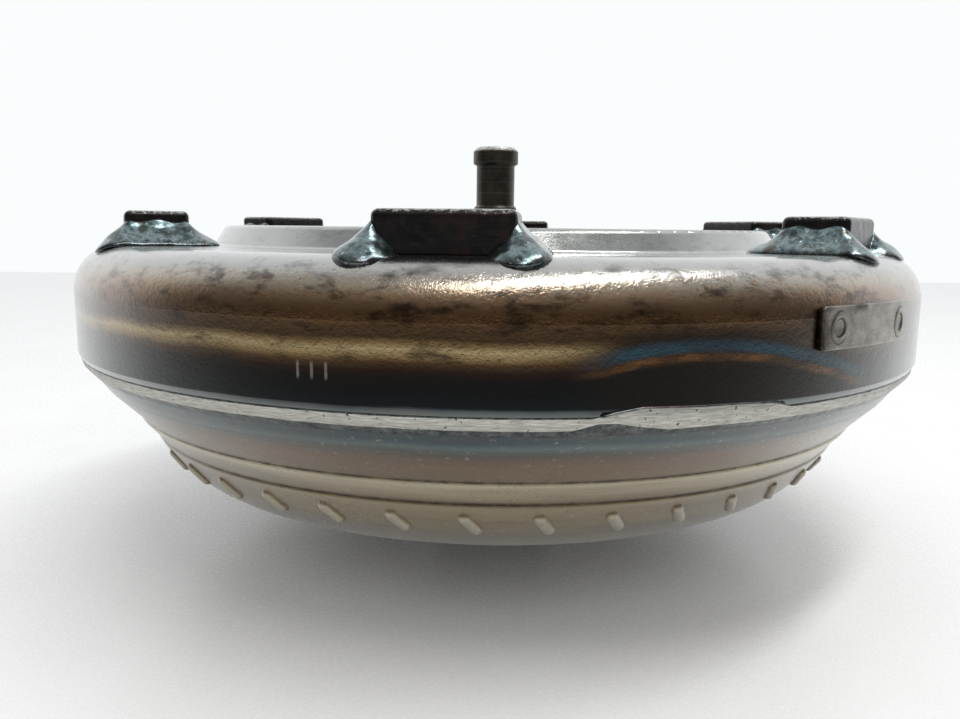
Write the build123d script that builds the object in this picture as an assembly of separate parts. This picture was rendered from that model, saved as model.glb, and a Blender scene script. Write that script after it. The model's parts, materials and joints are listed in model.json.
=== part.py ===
from build123d import *
from math import atan, cos, degrees, pi, radians, sin, sqrt, tan
import os

# Lock-up torque converter with a welded housing. Millimetres, +Z along the shaft axis towards the
# engine. The end of the pump drive hub stands on Z = 0, and angles count from -Y towards +X.

# Clearances
running_fit = 0.05          # radial or axial play of a journal or a needle
free_gap = 0.3              # least space between pieces that pass each other
brazed_gap = 0.15           # filler space between a blade and its wall
press_gap = 0.1             # radial space of the shell's rim in the cover
overrun = 1.0               # how far a cutter runs past the piece that it cuts

# Front cover
cover_radius = 138.0
cover_wall = 4.0
cover_flange_z = 98.9       # outer face of the flat ring that carries the lugs
cover_edge_z = 66.8         # lower edge of the skirt
cover_edge_bevel = 1.5
cover_shoulder = 13.0
plateau_z = 105.0
plateau_edge_radius = 93.0
plateau_slope_run = 4.0
plateau_top_fillet = 2.5
plateau_foot_fillet = 1.5
plateau_inner_fillet = 1.0

# Pilot post
pilot_seat_radius = 9.0
pilot_base_radius = 7.6
pilot_base_z = 112.6
pilot_stem_radius = 6.8
pilot_head_radius = 8.0
pilot_head_z = 127.7
pilot_top_z = 133.3
pilot_chamfer = 1.4
pilot_foot_rise = 1.2
pilot_neck_step = 0.5
pilot_neck_rise = 0.4
pilot_head_slope = 0.8
pilot_centre_radius = 3.4
pilot_centre_depth = 4.0
pilot_centre_point = 2.04

# Drive lugs, where the engine's flex plate bolts on
lug_count = 6
lug_first_angle = -5.2
lug_circle_radius = 114.6
lug_length = 32.1
lug_width = 17.6
lug_height = 10.0
lug_chamfer = 0.8
lug_hole_radius = 4.25
lug_weld_foot = 5.5
lug_weld_height = 6.5
lug_weld_wrap = 4.0
lug_weld_taper = 22.0
lug_weld_corner = 2.5

# Closing weld, from the shell's rim up to the cover's edge
closing_weld_toe = (1.6, 1.7)       # outwards and up from the foot
closing_weld_crown_inset = 0.5
closing_weld_crown_rise = 3.2

# Balance weight on the skirt
weight_angle = 39.85
weight_sweep = 16.7
weight_middle_z = 83.5
weight_height = 10.0
weight_thickness = 1.8
weight_corner = 1.2

# Impeller shell: a bowl of three tangent arcs and a straight flank
shell_wall = 3.0
bowl_low_radius = 62.0
bowl_low_z = 17.7
hub_arc = 47.0
hub_turn = 30.0
bottom_arc = 110.0
bottom_turn = 19.6
corner_arc = 28.0
corner_turn = 34.4
lower_step_z = 40.4
upper_step_z = 47.2
step_rise = 0.8
step_depth = 0.6
flare_run = 3.3             # inwards from the rim's face to where the flank flares
flare_z = 57.2
rim_foot_z = 61.8
rim_top_z = 73.0

# Dimples over the impeller's blade tabs
impeller_blade_count = 40
dimple_first_angle = -2.5
dimple_radius = 1.7
dimple_sink = 0.4
dimple_top_z = 37.0
dimple_low_turn = 52.0
dimple_slant = 1.4          # degrees about the axis from the top end to the low end

# Pump drive hub
hub_radius = 21.5
hub_bore_radius = 18.0
hub_neck_z = 19.5
hub_seat_step = 1.0         # radial step of the tube where the collar sits
hub_collar_run = 2.5
hub_collar_rise = 2.0
hub_slot_width = 10.0
hub_slot_depth = 9.5
hub_chamfer = 0.8

# Fluid circuit
midplane_z = 48.0
wheel_gap = 3.0             # axial space between the impeller's and the turbine's blades
blade_thickness = 1.0
blade_bow = 7.0
blade_inlet_turn = 17.0
core_radius = 84.0
core_arc = 21.5
core_low_z = 34.0
core_inlet_radius = 70.0
core_sheet = 1.2
turbine_blade_count = 37
turbine_clearance = 1.2
turbine_wall = 2.0
turbine_eye_radius = 27.0

# Needle bearings either side of the stator
race_thickness = 1.0
race_inner_radius = 20.0
race_outer_radius = 31.0
needle_radius = 1.0
needle_length = 6.0
needle_count = 32
cage_thickness = 1.4
cage_inset = 0.6

# Stator and one-way clutch
inner_race_radius = 23.0
inner_race_bore = 15.5
inner_race_spline_depth = 1.5
inner_race_teeth = 24
outer_race_radius = 34.0
roller_radius = 2.5
roller_count = 10
roller_length = 15.4
roller_chamfer = 0.3
race_pocket_gap = 1.3       # from the inner race to the outer race between two pockets
pocket_reach = 2.7          # in roller radii, from the roller to the pocket's spring end
pocket_ramp = (0.1, 0.6)    # roof's drop at the roller and its rise at the spring
clutch_strip = 0.8          # roller spring's strip, measured along its folds
clutch_spring_span = (1.6, 4.2)     # from the inner race to the folds' two sides
clutch_spring_reach = 2.6   # in roller radii
clutch_spring_folds = 4
clutch_spring_inset = 2.0   # from each end of the outer race
cap_thickness = 2.5
cap_boss_radius = 30.8
cap_boss_height = 1.3
snap_ring_width = 3.4
snap_ring_thickness = 1.2
snap_ring_seat = 1.0        # groove's depth in the wheel's bore
snap_ring_opening = 5.0
stator_hub_radius = 44.0
stator_shroud_radius = 64.5
stator_shroud_wall = 2.4
stator_half_height = 10.0
stator_blade_count = 17
stator_top_z = 59.0
stator_foot_chamfer = 4.0
stator_top_chamfer = (2.0, 1.5)
stator_mouth_chamfer = 2.0
stator_lip_gap = 0.2
stator_blade_margin = 1.0
stator_blade_root = 0.6     # how deep a blade runs into the hub and the shroud

# Turbine hub
turbine_bore = 11.0
turbine_spline_depth = 1.3
turbine_teeth = 20
turbine_sleeve_radius = 20.0
turbine_flange_radius = 41.5
turbine_flange_z = 62.2
rivet_circle_radius = 36.5
rivet_radius = 2.5
rivet_head_radius = 3.6
rivet_head_height = 1.4
rivet_count = 8
nose_radius = 24.0
nose_foot_z = 87.6
nose_foot_rise = 1.5
nose_top_z = 97.4
seal_ring_z = 89.9
seal_ring_height = 2.2
seal_ring_depth = 1.7
seal_ring_floor_gap = 0.1
seal_ring_opening = 0.8
thrust_washer_inner_radius = 12.8
thrust_washer_outer_radius = 23.5
thrust_oil_way = (2.5, 0.8)     # width and depth
thrust_oil_way_count = 4

# Torsional damper
damper_z = 83.0
driven_plate_thickness = 2.4
driven_plate_radius = 91.0
side_plate_thickness = 1.8
side_plate_gap = 1.0
side_plate_inner_radius = 62.0
retainer_plate_radius = 96.0
twist_limit = 6.0
stop_slot_spare = 1.0       # degrees past the twist limit, each way
spring_count = 6
spring_circle_radius = 78.0
spring_length = 50.0
spring_coil_radius = 5.2
spring_wire_radius = 1.2
spring_pitch = 6.4
spring_window_clearance = 0.4
stop_pin_circle_radius = 82.0
stop_pin_radius = 3.0
stop_pin_head_radius = 4.4
stop_pin_head_height = 1.2
drive_tooth_count = 12
drive_tooth_width = 9.0
drive_tooth_length = 3.2

# Lock-up piston
piston_travel = 0.7
piston_thickness = 2.8
piston_drop = 5.2           # from the piston's middle face to its friction ring
piston_sleeve_wall = 3.4
piston_sleeve_z = 88.2
piston_rim_wall = 2.8
piston_rim_z = 82.0
piston_slot_z = 88.4
piston_step_top_inset = 4.5
piston_step_foot_inset = 1.5
piston_step_shift = 1.2     # between the step's two faces
lining_thickness = 1.1
lining_width = 20.0
lining_outer_radius = 121.0
lining_spare = 0.1          # left between lining and cover at full travel
lining_oil_way = (1.6, 0.5)     # width and depth of the cross grooves
piston_rim_reach = 3.4      # from the lining's edge to the piston's rim

# Derived sizes
cover_inner_radius = cover_radius - cover_wall
cover_flange_inner_z = cover_flange_z - cover_wall
plateau_inner_z = plateau_z - cover_wall
rim_outer_radius = cover_inner_radius - press_gap
flare_radius = rim_outer_radius - flare_run
flank_angle = bottom_turn + corner_turn
hub_flange_top_z = (bowl_low_z + hub_arc * (1 - cos(radians(hub_turn)))
                    + shell_wall * cos(radians(hub_turn)))
bearing_height = 2 * race_thickness + 2 * needle_radius + 2 * running_fit
rear_cap_z = hub_flange_top_z + bearing_height
outer_race_z = rear_cap_z + cap_boss_height + cap_thickness
outer_race_height = roller_length + 2 * free_gap
front_cap_z = outer_race_z + outer_race_height
front_bearing_z = front_cap_z + cap_thickness + free_gap
turbine_hub_z = front_bearing_z + bearing_height
turbine_outer_depth = shell_wall + turbine_clearance
turbine_inner_depth = turbine_outer_depth + turbine_wall
drive_plate_z = damper_z + driven_plate_thickness / 2 + side_plate_gap
retainer_plate_z = (damper_z - driven_plate_thickness / 2 - side_plate_gap
                    - side_plate_thickness)
piston_ring_top_z = cover_flange_inner_z - piston_travel - lining_spare - lining_thickness
piston_rim_radius = lining_outer_radius + piston_rim_reach
drive_plate_radius = piston_rim_radius - piston_rim_wall - 2 * free_gap


# Helpers

def turned(*outline):
    # A ring from the closed outline of its section, drawn as (radius, height)
    return revolve(Plane.XZ * make_face(outline), Axis.Z)


def turned_polygon(*points):
    return turned(Polyline(*points, close=True))


def flat_ring(inner_radius, outer_radius, low_z, high_z):
    return turned_polygon((inner_radius, low_z), (outer_radius, low_z),
                          (outer_radius, high_z), (inner_radius, high_z))


def about_axis(shape, angle):
    return Rot(0, 0, angle) * shape


def round_array(shape, count, first_angle=0.0):
    return [about_axis(shape, first_angle + 360 / count * index) for index in range(count)]


def group(shapes):
    return Compound(children=[Compound(shape.wrapped) for shape in shapes])


def upright_cylinder(radius, low_z, high_z, distance=0.0):
    # Stands at a distance from the axis, on the -Y side
    height = high_z - low_z
    return Pos(0, -distance, low_z + height / 2) * Cylinder(radius, height)


def upright_box(width, near, far, low_z, high_z):
    # Spans from near to far out along -Y
    size = (width, far - near, high_z - low_z)
    return Pos(0, -(near + far) / 2, (low_z + high_z) / 2) * Box(*size)


def splined_ring(bore, depth, teeth, blank, low_z, high_z):
    groove = upright_box(pi * bore / teeth, 0, bore + depth, low_z - overrun, high_z + overrun)
    core = upright_cylinder(bore - overrun, low_z - 2 * overrun, high_z + 2 * overrun)
    return blank - [slot - core for slot in round_array(groove, teeth)]


# Impeller bowl lines

def bowl_arcs(depth, start_turn):
    # The section's arcs at a depth under the outer skin, from the hub side outwards
    hub_centre = (bowl_low_radius, bowl_low_z + hub_arc)
    bottom_centre = (bowl_low_radius, bowl_low_z + bottom_arc)
    corner_centre = (bowl_low_radius + (bottom_arc - corner_arc) * sin(radians(bottom_turn)),
                     bottom_centre[1] - (bottom_arc - corner_arc) * cos(radians(bottom_turn)))
    return [CenterArc(hub_centre, hub_arc - depth, -90 - start_turn, start_turn),
            CenterArc(bottom_centre, bottom_arc - depth, -90, bottom_turn),
            CenterArc(corner_centre, corner_arc - depth, bottom_turn - 90, corner_turn)]


def flank_radius(depth, z):
    foot = bowl_arcs(depth, hub_turn)[-1] @ 1
    return foot.X + (z - foot.Y) / tan(radians(flank_angle))


def mirrored(shape):
    return mirror(shape, Plane.XY.offset(midplane_z))


# Housing

def front_cover():
    slope_turn = 90 - degrees(atan(plateau_slope_run / (plateau_z - cover_flange_z)))
    inner_shift = cover_wall * tan(radians(slope_turn / 2))
    foot_radius = plateau_edge_radius + plateau_slope_run
    edge_step = cover_edge_bevel / 2
    points = [(pilot_seat_radius, plateau_z),
              (plateau_edge_radius, plateau_z),
              (foot_radius, cover_flange_z),
              (cover_radius, cover_flange_z),
              (cover_radius, cover_edge_z + cover_edge_bevel),
              (cover_radius - edge_step, cover_edge_z),
              (cover_inner_radius, cover_edge_z),
              (cover_inner_radius, cover_flange_inner_z),
              (foot_radius - inner_shift, cover_flange_inner_z),
              (plateau_edge_radius - inner_shift, plateau_inner_z),
              (pilot_seat_radius, plateau_inner_z)]
    fillets = [0, plateau_top_fillet, plateau_foot_fillet, cover_shoulder, 0, 0, 0,
               cover_shoulder - cover_wall, plateau_foot_fillet, plateau_inner_fillet, 0]
    return turned(FilletPolyline(*points, radius=fillets, close=True))


def pilot():
    neck = pilot_stem_radius + pilot_neck_step
    body = turned_polygon((0, plateau_inner_z), (pilot_seat_radius, plateau_inner_z),
                          (pilot_seat_radius, plateau_z), (pilot_base_radius, plateau_z + pilot_foot_rise),
                          (pilot_base_radius, pilot_base_z - pilot_neck_rise), (neck, pilot_base_z),
                          (pilot_stem_radius, pilot_base_z + pilot_neck_rise),
                          (pilot_stem_radius, pilot_head_z - pilot_head_slope),
                          (pilot_head_radius, pilot_head_z),
                          (pilot_head_radius, pilot_top_z - pilot_chamfer),
                          (pilot_head_radius - pilot_chamfer, pilot_top_z), (0, pilot_top_z))
    floor_z = pilot_top_z - pilot_centre_depth
    centre = turned_polygon((0, floor_z - pilot_centre_point),
                            (pilot_centre_radius, floor_z),
                            (pilot_centre_radius, pilot_top_z + overrun),
                            (0, pilot_top_z + overrun))
    return body - centre


def lug_block():
    middle = Pos(0, -lug_circle_radius, cover_flange_z + lug_height / 2)
    block = middle * Box(lug_length, lug_width, lug_height)
    upper = block.edges().filter_by_position(Axis.Z, cover_flange_z + lug_chamfer,
                                             cover_flange_z + lug_height + lug_chamfer)
    return chamfer(upper, lug_chamfer)


def lug():
    mouth_z = cover_flange_z + lug_height
    hole = upright_cylinder(lug_hole_radius, cover_flange_z - overrun, mouth_z + overrun,
                            lug_circle_radius)
    mouth = Cone(lug_hole_radius, lug_hole_radius + lug_chamfer, lug_chamfer)
    mouth = Pos(0, -lug_circle_radius, mouth_z - lug_chamfer / 2) * mouth
    return lug_block() - hole - mouth


def lug_weld():
    # One bead along each end of the block, wrapped round its two corners
    beads = []
    for side in (-1, 1):
        middle = side * (lug_length + lug_weld_foot - lug_weld_wrap) / 2
        foot = RectangleRounded(lug_weld_foot + lug_weld_wrap, lug_width + lug_weld_foot,
                                lug_weld_corner)
        bead = extrude(foot, lug_weld_height, taper=lug_weld_taper)
        bead = Pos(middle, -lug_circle_radius, cover_flange_z) * bead
        beads.append(bead - lug_block())
    return beads


def balance_weight():
    low_z = weight_middle_z - weight_height / 2
    section = Rectangle(weight_thickness, weight_height, align=(Align.MIN, Align.MIN))
    section = Plane.XZ * Pos(cover_radius, low_z) * section
    strip = revolve(section, Axis.Z, weight_sweep)
    corners = strip.edges().filter_by(lambda edge: abs(edge.length - weight_thickness) < 0.01)
    strip = fillet(corners, weight_corner)
    return about_axis(strip, weight_angle - weight_sweep / 2 - 90)


def closing_weld():
    foot = Vector(rim_outer_radius, rim_foot_z)
    toe = foot + Vector(*closing_weld_toe)
    crown = Vector(cover_radius - cover_edge_bevel / 2 - closing_weld_crown_inset,
                   rim_foot_z + closing_weld_crown_rise)
    outline = [foot, toe, crown, Vector(cover_radius - cover_edge_bevel / 2, cover_edge_z),
               Vector(rim_outer_radius, cover_edge_z)]
    return turned_polygon(*[(point.X, point.Y) for point in outline])


def dimple(angle):
    # A capsule that lies slanted on the bowl, from the flank down onto the corner arc
    corner = bowl_arcs(dimple_sink, hub_turn)[-1]
    low = corner @ ((dimple_low_turn - bottom_turn) / corner_turn)
    top = (flank_radius(dimple_sink, dimple_top_z), dimple_top_z)
    ends = []
    for (radius, z), turn in ((top, -dimple_slant / 2), ((low.X, low.Y), dimple_slant / 2)):
        at = radians(angle + turn)
        ends.append(Vector(radius * sin(at), -radius * cos(at), z))
    reach = (ends[1] - ends[0]).length
    side = Line((dimple_radius, 0), (dimple_radius, reach))
    tip = JernArc(side @ 1, (0, 1), dimple_radius, 90)
    root = JernArc(side @ 0, (0, -1), dimple_radius, -90)
    half = make_face([side, tip, root, Line(tip @ 1, root @ 1)])
    capsule = revolve(Plane.XZ * half, Axis.Z)
    return Plane(origin=ends[0], z_dir=ends[1] - ends[0]) * capsule


def impeller_shell():
    outer = bowl_arcs(0, hub_turn)
    skin = Polyline(outer[-1] @ 1,
                    (flank_radius(0, lower_step_z), lower_step_z),
                    (flank_radius(step_depth, lower_step_z + step_rise), lower_step_z + step_rise),
                    (flank_radius(0, upper_step_z), upper_step_z),
                    (flank_radius(step_depth, upper_step_z + step_rise), upper_step_z + step_rise),
                    (flare_radius, flare_z),
                    (rim_outer_radius, rim_foot_z),
                    (rim_outer_radius, rim_top_z))
    inner = bowl_arcs(shell_wall, hub_turn)
    bend_z = upper_step_z + step_rise + shell_wall
    rim_inner_radius = rim_outer_radius - shell_wall
    lining = Polyline(inner[-1] @ 1,
                      (flank_radius(shell_wall, bend_z), bend_z),
                      (rim_inner_radius, rim_foot_z + shell_wall),
                      (rim_inner_radius, rim_top_z),
                      (rim_outer_radius, rim_top_z))
    hub_edge = Line(outer[0] @ 0, inner[0] @ 0)
    shell = turned(*outer, skin, *inner, lining, hub_edge)
    angles = [dimple_first_angle + 360 / impeller_blade_count * index
              for index in range(impeller_blade_count)]
    return shell + [dimple(angle) for angle in angles]


def impeller_hub():
    seat_radius = hub_radius - hub_seat_step
    tube = turned_polygon((hub_bore_radius, hub_chamfer), (hub_bore_radius + hub_chamfer, 0),
                          (hub_radius - hub_chamfer, 0), (hub_radius, hub_chamfer),
                          (hub_radius, hub_neck_z), (seat_radius, hub_neck_z),
                          (seat_radius, hub_flange_top_z), (hub_bore_radius, hub_flange_top_z))
    reach = hub_radius + overrun
    slot = upright_box(hub_slot_width, -reach, reach, -overrun, hub_slot_depth)
    return tube - slot


def impeller_hub_collar():
    # Carries the bowl's inner edge, seated on the tube's step
    outer_edge = bowl_arcs(0, hub_turn)[0] @ 0
    inner_edge = bowl_arcs(shell_wall, hub_turn)[0] @ 0
    seat_radius = hub_radius - hub_seat_step
    return turned_polygon((seat_radius, hub_neck_z), (hub_radius, hub_neck_z),
                          (hub_radius + hub_collar_run, hub_neck_z + hub_collar_rise),
                          (outer_edge.X, outer_edge.Y), (inner_edge.X, inner_edge.Y),
                          (seat_radius, inner_edge.Y))


# Fluid circuit

def core_point(radius):
    # On the core ring's circle, its lower half
    return (radius, core_low_z + core_arc - sqrt(core_arc ** 2 - (radius - core_radius) ** 2))


def core_outlet_radius(arc):
    drop = core_low_z + core_arc - (midplane_z - wheel_gap / 2)
    return core_radius + sqrt(arc ** 2 - drop ** 2)


def core_ring():
    outlet_z = midplane_z - wheel_gap / 2
    centre_z = core_low_z + core_arc
    inner_arc = core_arc - core_sheet
    start = core_point(core_inlet_radius)
    lean = (start[0] - core_radius) / core_arc, (start[1] - centre_z) / core_arc
    inner_start = (core_radius + lean[0] * inner_arc, centre_z + lean[1] * inner_arc)
    outer_end = (core_outlet_radius(core_arc), outlet_z)
    inner_end = (core_outlet_radius(inner_arc), outlet_z)
    return turned(ThreePointArc(start, (core_radius, core_low_z), outer_end),
                  Line(outer_end, inner_end),
                  ThreePointArc(inner_end, (core_radius, core_low_z + core_sheet), inner_start),
                  Line(inner_start, start))


def blade_set(wall_depth, count, bow):
    # Thin bowed blades between a wheel's shell and its core ring
    outlet_z = midplane_z - wheel_gap / 2
    wall = bowl_arcs(wall_depth + brazed_gap, blade_inlet_turn)
    outlet = (flank_radius(wall_depth + brazed_gap, outlet_z), outlet_z)
    arc = core_arc + brazed_gap
    core_start = core_point(core_inlet_radius)
    core_start = (core_start[0], core_start[1] - brazed_gap)
    core_end = (core_outlet_radius(arc), outlet_z)
    cell = turned(*wall, Line(wall[-1] @ 1, outlet), Line(outlet, core_end),
                  ThreePointArc(core_end, (core_radius, core_low_z - brazed_gap), core_start),
                  Line(core_start, wall[0] @ 0))
    root, tip = core_inlet_radius / 2, cover_radius
    half = blade_thickness / 2
    strip = make_face([ThreePointArc((-half, -root), (bow - half, -(root + tip) / 2), (-half, -tip)),
                       Line((-half, -tip), (half, -tip)),
                       ThreePointArc((half, -tip), (bow + half, -(root + tip) / 2), (half, -root)),
                       Line((half, -root), (-half, -root))])
    blade = extrude(strip, midplane_z) & cell
    return round_array(blade, count)


def turbine_shell():
    outer = bowl_arcs(turbine_outer_depth, hub_turn)
    inner = bowl_arcs(turbine_inner_depth, hub_turn)
    outlet_z = midplane_z - wheel_gap / 2
    outer_top = (flank_radius(turbine_outer_depth, outlet_z), outlet_z)
    inner_top = (flank_radius(turbine_inner_depth, outlet_z), outlet_z)
    low, high = outer[0] @ 0, inner[0] @ 0
    bowl = turned(*outer, Line(outer[-1] @ 1, outer_top), Line(outer_top, inner_top),
                  Line(inner_top, inner[-1] @ 1), *inner,
                  Line(high, (turbine_eye_radius, high.Y)),
                  Line((turbine_eye_radius, high.Y), (turbine_eye_radius, low.Y)),
                  Line((turbine_eye_radius, low.Y), low))
    return mirrored(bowl) - rivet_holes()


def turbine_flange_top():
    return 2 * midplane_z - (bowl_arcs(turbine_inner_depth, hub_turn)[0] @ 0).Y


def turbine_eye_top():
    return 2 * midplane_z - (bowl_arcs(turbine_outer_depth, hub_turn)[0] @ 0).Y


def rivet_holes():
    hole = upright_cylinder(rivet_radius, turbine_flange_z - overrun,
                            turbine_eye_top() + overrun, rivet_circle_radius)
    return round_array(hole, rivet_count)


def turbine_rivets():
    shank = upright_cylinder(rivet_radius, turbine_flange_z, turbine_eye_top(), rivet_circle_radius)
    heads = [upright_cylinder(rivet_head_radius, turbine_flange_z - rivet_head_height,
                              turbine_flange_z, rivet_circle_radius),
             upright_cylinder(rivet_head_radius, turbine_eye_top(),
                              turbine_eye_top() + rivet_head_height, rivet_circle_radius)]
    return round_array(shank + heads, rivet_count)


def turbine_hub():
    flange_top = turbine_flange_top()
    groove_floor = nose_radius - seal_ring_depth
    groove_top = seal_ring_z + seal_ring_height + 2 * running_fit
    blank = turned_polygon((turbine_bore, turbine_hub_z), (race_outer_radius, turbine_hub_z),
                           (race_outer_radius, turbine_flange_z),
                           (turbine_flange_radius, turbine_flange_z),
                           (turbine_flange_radius, flange_top),
                           (turbine_sleeve_radius, flange_top),
                           (turbine_sleeve_radius, nose_foot_z - nose_foot_rise),
                           (nose_radius, nose_foot_z),
                           (nose_radius, seal_ring_z), (groove_floor, seal_ring_z),
                           (groove_floor, groove_top), (nose_radius, groove_top),
                           (nose_radius, nose_top_z), (turbine_bore, nose_top_z))
    hub = splined_ring(turbine_bore, turbine_spline_depth, turbine_teeth, blank, turbine_hub_z,
                       nose_top_z)
    return hub - rivet_holes()


def piston_seal_ring():
    low_z = seal_ring_z + running_fit
    high_z = low_z + seal_ring_height
    ring = flat_ring(nose_radius - seal_ring_depth + seal_ring_floor_gap, nose_radius,
                     low_z, high_z)
    return ring - upright_box(seal_ring_opening, 0, nose_radius + overrun, low_z - overrun,
                              high_z + overrun)


def turbine_thrust_washer():
    top_z = plateau_inner_z - free_gap
    washer = flat_ring(thrust_washer_inner_radius, thrust_washer_outer_radius, nose_top_z, top_z)
    way_width, way_depth = thrust_oil_way
    oil_way = upright_box(way_width, 0, thrust_washer_outer_radius + overrun, top_z - way_depth,
                          top_z + overrun)
    return washer - round_array(oil_way, thrust_oil_way_count)


# Stator and one-way clutch

def stator_wheel():
    bore = outer_race_radius
    groove_z = front_cap_z + cap_thickness
    groove_top = groove_z + snap_ring_thickness + running_fit
    groove_radius = bore + snap_ring_seat
    lip_z = rear_cap_z + stator_lip_gap
    lip_top = rear_cap_z + cap_boss_height
    top_run, top_drop = stator_top_chamfer
    hub = turned_polygon((cap_boss_radius + free_gap, lip_z),
                         (stator_hub_radius - stator_foot_chamfer, lip_z),
                         (stator_hub_radius, lip_z + stator_foot_chamfer),
                         (stator_hub_radius, stator_top_z - top_drop),
                         (stator_hub_radius - top_run, stator_top_z),
                         (bore + stator_mouth_chamfer, stator_top_z),
                         (bore, groove_top + stator_mouth_chamfer),
                         (bore, groove_top), (groove_radius, groove_top),
                         (groove_radius, groove_z), (bore, groove_z), (bore, lip_top),
                         (cap_boss_radius + free_gap, lip_top))
    shroud = flat_ring(stator_shroud_radius, stator_shroud_radius + stator_shroud_wall,
                       midplane_z - stator_half_height, midplane_z + stator_half_height)
    return hub + shroud + round_array(stator_blade(), stator_blade_count)


def stator_blade():
    # Aerofoil that turns the flow, thick at the turbine side and thin at the impeller side
    high = stator_half_height - stator_blade_margin
    low = -high
    tail = (8.0, low)
    section = make_face([ThreePointArc(tail, (-3.6, 0.5), (-3.2, high - 1.2)),
                         ThreePointArc((-3.2, high - 1.2), (-1.2, high), (1.0, high - 1.6)),
                         ThreePointArc((1.0, high - 1.6), (1.3, 0.5), (tail[0] + 0.9, low)),
                         Line((tail[0] + 0.9, low), tail)])
    root = stator_hub_radius - stator_blade_root
    plane = Plane(origin=(0, -root, midplane_z), x_dir=(1, 0, 0), z_dir=(0, -1, 0))
    return extrude(plane * section, stator_shroud_radius + stator_blade_root - root)


def stator_outer_race():
    blank = flat_ring(inner_race_radius + race_pocket_gap, outer_race_radius - running_fit,
                      outer_race_z, front_cap_z)
    return blank - round_array(roller_pocket(), roller_count)


def roller_pocket():
    # A ramp that is low over the roller's locking side and high over its spring
    roof = inner_race_radius + 2 * roller_radius + free_gap
    near = inner_race_radius
    drop, rise = pocket_ramp
    left, right = -pocket_reach * roller_radius, roller_radius + free_gap
    outline = Polyline((right, -near), (right, -roof + drop), (left, -roof - rise), (left, -near),
                       close=True)
    tall = outer_race_height + 2 * overrun
    return Pos(0, 0, outer_race_z - overrun) * extrude(make_face(outline), tall)


def clutch_rollers():
    low_z = outer_race_z + free_gap
    roller = upright_cylinder(roller_radius, low_z, low_z + roller_length,
                              inner_race_radius + roller_radius + running_fit)
    return round_array(chamfer(roller.edges(), roller_chamfer), roller_count)


def clutch_springs():
    # A folded strip between each roller and the wide end of its pocket
    near, far = [inner_race_radius + span for span in clutch_spring_span]
    left, right = -clutch_spring_reach * roller_radius, -roller_radius - free_gap
    fold = (right - left) / clutch_spring_folds
    points = [(left + fold * step, -(near if step % 2 else far))
              for step in range(clutch_spring_folds + 1)]
    back = [(x, y - clutch_strip) for x, y in reversed(points)]
    strip = make_face(Polyline(*points, *back, close=True))
    width = outer_race_height - 2 * clutch_spring_inset
    spring = Pos(0, 0, outer_race_z + clutch_spring_inset) * extrude(strip, width, dir=(0, 0, 1))
    return round_array(spring, roller_count)


def stator_rear_cap():
    journal = inner_race_radius + running_fit
    edge = outer_race_radius - running_fit
    return turned_polygon((journal, rear_cap_z), (cap_boss_radius, rear_cap_z),
                          (cap_boss_radius, rear_cap_z + cap_boss_height),
                          (edge, rear_cap_z + cap_boss_height), (edge, outer_race_z),
                          (journal, outer_race_z))


def stator_front_cap():
    journal = inner_race_radius + running_fit
    edge = outer_race_radius - running_fit
    boss = race_outer_radius
    return turned_polygon((journal, front_cap_z), (edge, front_cap_z),
                          (edge, front_cap_z + cap_thickness), (boss, front_cap_z + cap_thickness),
                          (boss, front_bearing_z), (journal, front_bearing_z))


def stator_snap_ring():
    low_z = front_cap_z + cap_thickness
    high_z = low_z + snap_ring_thickness
    outer = outer_race_radius + snap_ring_seat - running_fit
    ring = flat_ring(outer - snap_ring_width, outer, low_z, high_z)
    return ring - upright_box(snap_ring_opening, 0, outer + overrun, low_z - overrun,
                              high_z + overrun)


def stator_inner_race():
    low_z = rear_cap_z + 2 * free_gap
    high_z = front_bearing_z - free_gap
    blank = flat_ring(inner_race_bore, inner_race_radius, low_z, high_z)
    return splined_ring(inner_race_bore, inner_race_spline_depth, inner_race_teeth, blank,
                        low_z, high_z)


# Needle bearings: a lower race, needles in a cage, an upper race

def bearing_race(bearing_z, upper):
    low_z = bearing_z + (bearing_height - race_thickness if upper else 0)
    return flat_ring(race_inner_radius, race_outer_radius, low_z, low_z + race_thickness)


def needle_middle(bearing_z):
    return bearing_z + bearing_height / 2


def bearing_needles(bearing_z, grown=0.0):
    middle = (race_inner_radius + race_outer_radius) / 2
    needle = Cylinder(needle_radius + grown, needle_length + 2 * grown, rotation=(90, 0, 0))
    return round_array(Pos(0, -middle, needle_middle(bearing_z)) * needle, needle_count)


def bearing_cage(bearing_z):
    middle = needle_middle(bearing_z)
    blank = flat_ring(race_inner_radius + cage_inset, race_outer_radius - cage_inset,
                      middle - cage_thickness / 2, middle + cage_thickness / 2)
    return blank - bearing_needles(bearing_z, running_fit)


# Torsional damper

def spring_windows(low_z, high_z):
    half_width = spring_coil_radius + spring_wire_radius + spring_window_clearance
    window = upright_box(spring_length + spring_window_clearance,
                         spring_circle_radius - half_width, spring_circle_radius + half_width,
                         low_z, high_z)
    return round_array(window, spring_count)


def stop_pin_angle():
    return 180 / spring_count


def driven_plate():
    low_z = damper_z - driven_plate_thickness / 2
    high_z = low_z + driven_plate_thickness
    plate = flat_ring(turbine_sleeve_radius, driven_plate_radius, low_z, high_z)
    half_width = stop_pin_radius + free_gap
    reach = twist_limit + stop_slot_spare
    cut_z = low_z - overrun, high_z + overrun
    section = Rectangle(2 * half_width, cut_z[1] - cut_z[0])
    section = Plane.XZ * Pos(stop_pin_circle_radius, damper_z) * section
    slot = about_axis(revolve(section, Axis.Z, 2 * reach), -90 - reach)
    ends = [about_axis(upright_cylinder(half_width, *cut_z, stop_pin_circle_radius), side * reach)
            for side in (-1, 1)]
    slots = round_array(slot + ends, spring_count, stop_pin_angle())
    return plate - spring_windows(*cut_z) - slots


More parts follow.
